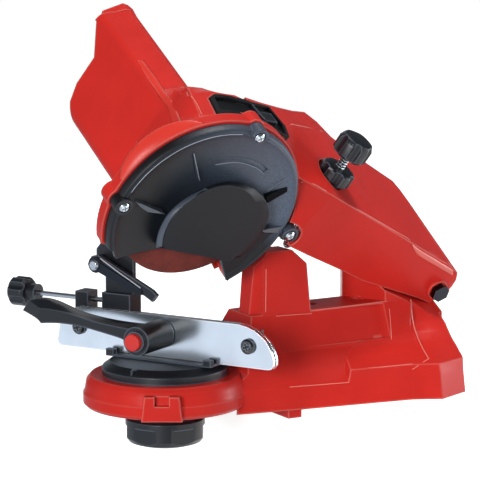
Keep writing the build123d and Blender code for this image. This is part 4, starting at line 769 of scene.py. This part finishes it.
class SHARPENER_OT_guard(bpy.types.Operator):
    """Disc guard, its cover and screws."""
    bl_idname = "sharpener.guard"
    bl_label = "Guard"

    def execute(self, context):
        rim = blank("guard", "_rim")
        combine(rim, turned("tool", RIM_HOLLOW, DISC_FRAME), "DIFFERENCE")
        # only the left boss stands proud of the rim
        x, y = SCREW_BOSSES[0]
        place = DISC_FRAME @ Matrix.Translation((x / 1000, y / 1000, 0))
        combine(rim, turned("tool", BOSS_RING, place, 48), "UNION")
        complete(rim, "guard", "head", 32, ("guard",))
        self.field()
        self.cover()
        self.ribs()
        for k, (x, y) in enumerate(SCREW_BOSSES):
            screw = blank("guard_screw_%d" % (k + 1))
            place = DISC_FRAME @ Matrix.Translation((x / 1000, y / 1000, 0.0152))
            cross_recess(screw, place, 0.0021, 0.0009, 0.0014)
            complete(screw, "screw", "head", 30, ("guard_screw_%d" % (k + 1),))
        return {"FINISHED"}

    def field(self):
        """Dished field inside the rim, open over the wheel, with its groove and the beak at its foot."""
        field = turned("guard_field", FIELD_PROFILE, DISC_FRAME, 128)
        combine(field, prism("tool", FIELD_MOUTH, -5, 40, DISC_FRAME), "DIFFERENCE")
        combine(field, prism("tool", ARC_GROOVE, 6.0, 12.0, DISC_FRAME), "DIFFERENCE")
        complete(field, "guard", "head", 30)
        complete(prism("beak_plate", BEAK, 5.0, 10.2, DISC_FRAME), "cover", "head", 30)
        # the beak's bevel is painted grey as a dim highlight
        strand("beak_bevel", BEAK_BEVEL, 0.8, DISC_FRAME, "lip_dim", "head")

    def cover(self):
        """Cover over the spindle nut: domed outline, straight foot, broad bevel to one side."""
        base = eased(COVER_BASE, 4) + COVER_FOOT
        sunk = [(x + SKIRT_IN[0], y + SKIRT_IN[1]) for x, y in base]
        top = eased(COVER_TOP, 4) + COVER_FOOT
        cover = prism("guard_cover_skin", sunk, 7.2, 13.4, DISC_FRAME, base)
        combine(cover, prism("tool", base, 13.3, 17.0, DISC_FRAME, top), "UNION")
        combine(cover, prism("tool", grown(COVER_TOP + COVER_FOOT, -3.0), 4.0, 14.8, DISC_FRAME), "DIFFERENCE")
        complete(cover, "cover", "head", 30, ("guard_cover",))
        low = [(x + FLANK_IN[0], y + FLANK_IN[1], 10.2) for x, y in COVER_BASE[:7]]
        middle = [(x, y, 13.3) for x, y in COVER_BASE[:7]]
        high = [(x, y, 16.8) for x, y in COVER_TOP[:7]]
        # the bevel is painted paler than the cover as a highlight
        flank = draped("cover_flank", [low, middle, high], (1.2, -1.2, 0), 4)
        flank.data.transform(DISC_FRAME)
        complete(flank, "flank", "head", 40)

    def ribs(self):
        """Fine lips and ribs, most painted pale as highlight lines: rim step, groove edge, thin rib, wedges."""
        for name, first, last, size, finish in (("rim_lip_left", 82, 158, 0.3, "lip"),
                                                ("rim_lip_right", -8, 78, 0.2, "lip_dim")):
            run = [(RIM_LIP_R * math.cos(math.radians(a)), RIM_LIP_R * math.sin(math.radians(a)), RIM_LIP_Z)
                   for a in range(first, last + 1, 2)]
            strand(name, run, size, DISC_FRAME, finish, "head")
        strand("groove_lip", [(x, y, 7.6) for x, y in eased(ARC_GROOVE[:6], 4)], 0.25, DISC_FRAME, "lip", "head")
        strand("thin_rib", THIN_RIB, 0.7, DISC_FRAME, "guard", "head")
        strand("thin_rib_lip", THIN_RIB_LIP, 0.28, DISC_FRAME, "lip", "head")
        complete(prism("rib_left", RIB_LEFT, 5.5, 10.8, DISC_FRAME), "lip_dim", "head", 30)
        # the notch's bed is darkened as painted shade
        complete(prism("notch_bed", NOTCH_FOOT, 6.4, 9.6, DISC_FRAME, NOTCH_TOP), "pocket", "head", 30)
        strand("notch_lip", NOTCH_LIP, 0.3, DISC_FRAME, "lip_dim", "head")
        complete(prism("rib_right", RIB_RIGHT, 7.0, 11.6, DISC_FRAME), "lip_dim", "head", 30)


class SHARPENER_OT_wheel(bpy.types.Operator):
    """Grinding wheel, flanges, spindle, bearings and motor."""
    bl_idname = "sharpener.wheel"
    bl_label = "Wheel and motor"

    def execute(self, context):
        dress("wheel", "grinding_disc")
        dress("steel", "flange_back", "flange_front", "spindle", "bearing_front", "bearing_rear", "motor_body")
        dress("dark", "spindle_nut")
        return {"FINISHED"}


# swept rear end of the jaws, upright, and where on a jaw it is set
JAW_TAIL_X = 0.07
JAW_SCREWS = (("jaw_screw_left", -64.5), ("jaw_screw_right", 64.5))
JAW_SCREW_Z = 0.0245
JAW_END = [(40, 12), (40, 38), (56, 38), (63, 37.0), (69, 34.8), (74.2, 31.4), (78.4, 27), (81.4, 21.8), (82.9, 16.6),
           (82.7, 13.2), (81, 11.1), (78.4, 10.5)]


class SHARPENER_OT_vise(bpy.types.Operator):
    """Turntable, chain jaws, clamp lever and their screws."""
    bl_idname = "sharpener.vise"
    bl_label = "Chain vise"

    def execute(self, context):
        moulding("turntable", "knob", 32)
        moulding("vise_body", "knob", 32)
        moulding("clamp_lever", "knob", 34)
        dress("cap", "clamp_cap")
        for name in ("front_jaw", "rear_jaw"):
            jaw = blank(name)
            seats = [VISE_FRAME.inverted() @ vertex.co for vertex in jaw.data.vertices]
            depths = [seat.y * 1000 for seat in seats if seat.x > JAW_TAIL_X]
            level = VISE_FRAME @ Matrix.Rotation(math.pi / 2, 4, "X")
            combine(jaw, prism("tool", JAW_END, -max(depths), -min(depths), level), "UNION")
            complete(jaw, "zinc", BODY_OF[name], 30, (name,))
        dress("dark", "clamp_bolt")
        for name, x in JAW_SCREWS:
            screw = blank(name)
            front = min((VISE_FRAME.inverted() @ vertex.co).y for vertex in screw.data.vertices)
            place = (VISE_FRAME @ Matrix.Translation((x / 1000, front, JAW_SCREW_Z))
                     @ Matrix.Rotation(math.pi / 2, 4, "X"))
            cross_recess(screw, place, 0.0024, 0.0012, 0.0016)
            complete(screw, "gloss_screw", BODY_OF[name], 30, (name,))
        dress("steel", "clamp_washer", "lock_washer", "swivel_stud")
        moulding("lock_knob", "knob", 32)
        return {"FINISHED"}


# bright spring wire down the finger, pin to tip
PAWL_WIRE = [(-154.8, 40.6, 95.6), (-151.9, 35.7, 92.4), (-147.3, 27.6, 87.2), (-142.6, 19.6, 82.4),
             (-139.2, 13.6, 78.7)]


class SHARPENER_OT_chain_stop(bpy.types.Operator):
    """Chain stop: carriage, screw, knob and pawl."""
    bl_idname = "sharpener.chain_stop"
    bl_label = "Chain stop"

    def execute(self, context):
        moulding("stop_carriage", "knob", 32)
        moulding("stop_knob", "knob", 32)
        moulding("pawl", "knob", 32)
        dress("steel", "stop_screw")
        dress("screw", "pawl_pin")
        dress("dark", "pawl_strip")
        strand("pawl_wire", PAWL_WIRE, 0.7, Matrix.Identity(4), "screw", "finger")
        return {"FINISHED"}


class SHARPENER_OT_controls(bpy.types.Operator):
    """Switch, depth screw with its knobs, and pivot bolt."""
    bl_idname = "sharpener.controls"
    bl_label = "Switch and depth stop"

    def execute(self, context):
        moulding("switch_console", "console", 32)
        moulding("switch_rocker", "knob", 32)
        moulding("depth_knob", "knob", 34)
        moulding("depth_lock", "knob", 34)
        dress("depth_thread", "depth_screw")
        dress("dark", "pivot_bolt", "pivot_nut")
        return {"FINISHED"}


STEPS = ("stage", "housings", "guard", "wheel", "vise", "chain_stop", "controls")


class SHARPENER_PT_panel(bpy.types.Panel):
    """Lists the pieces and their finishes."""
    bl_idname = "SHARPENER_PT_panel"
    bl_label = "Chain Sharpener"
    bl_space_type = "VIEW_3D"
    bl_region_type = "UI"
    bl_category = "Sharpener"

    def draw(self, context):
        for step in STEPS:
            self.layout.operator("sharpener." + step)
        for group in (context.scene.sharpener_finish, context.scene.sharpener_sizes):
            box = self.layout.box()
            for name in group.bl_rna.properties.keys():
                if name not in ("rna_type", "name"):
                    box.prop(group, name)


CLASSES = (SharpenerFinish, SharpenerSizes, SHARPENER_OT_stage, SHARPENER_OT_housings, SHARPENER_OT_guard,
           SHARPENER_OT_wheel, SHARPENER_OT_vise, SHARPENER_OT_chain_stop, SHARPENER_OT_controls,
           SHARPENER_PT_panel)


def register():
    for cls in CLASSES:
        bpy.utils.register_class(cls)
    bpy.types.Scene.sharpener_finish = bpy.props.PointerProperty(type=SharpenerFinish)
    bpy.types.Scene.sharpener_sizes = bpy.props.PointerProperty(type=SharpenerSizes)


def unregister():
    del bpy.types.Scene.sharpener_sizes
    del bpy.types.Scene.sharpener_finish
    for cls in reversed(CLASSES):
        bpy.utils.unregister_class(cls)


def main():
    register()
    for step in STEPS:
        getattr(bpy.ops.sharpener, step)()


if __name__ == "__main__":
    main()
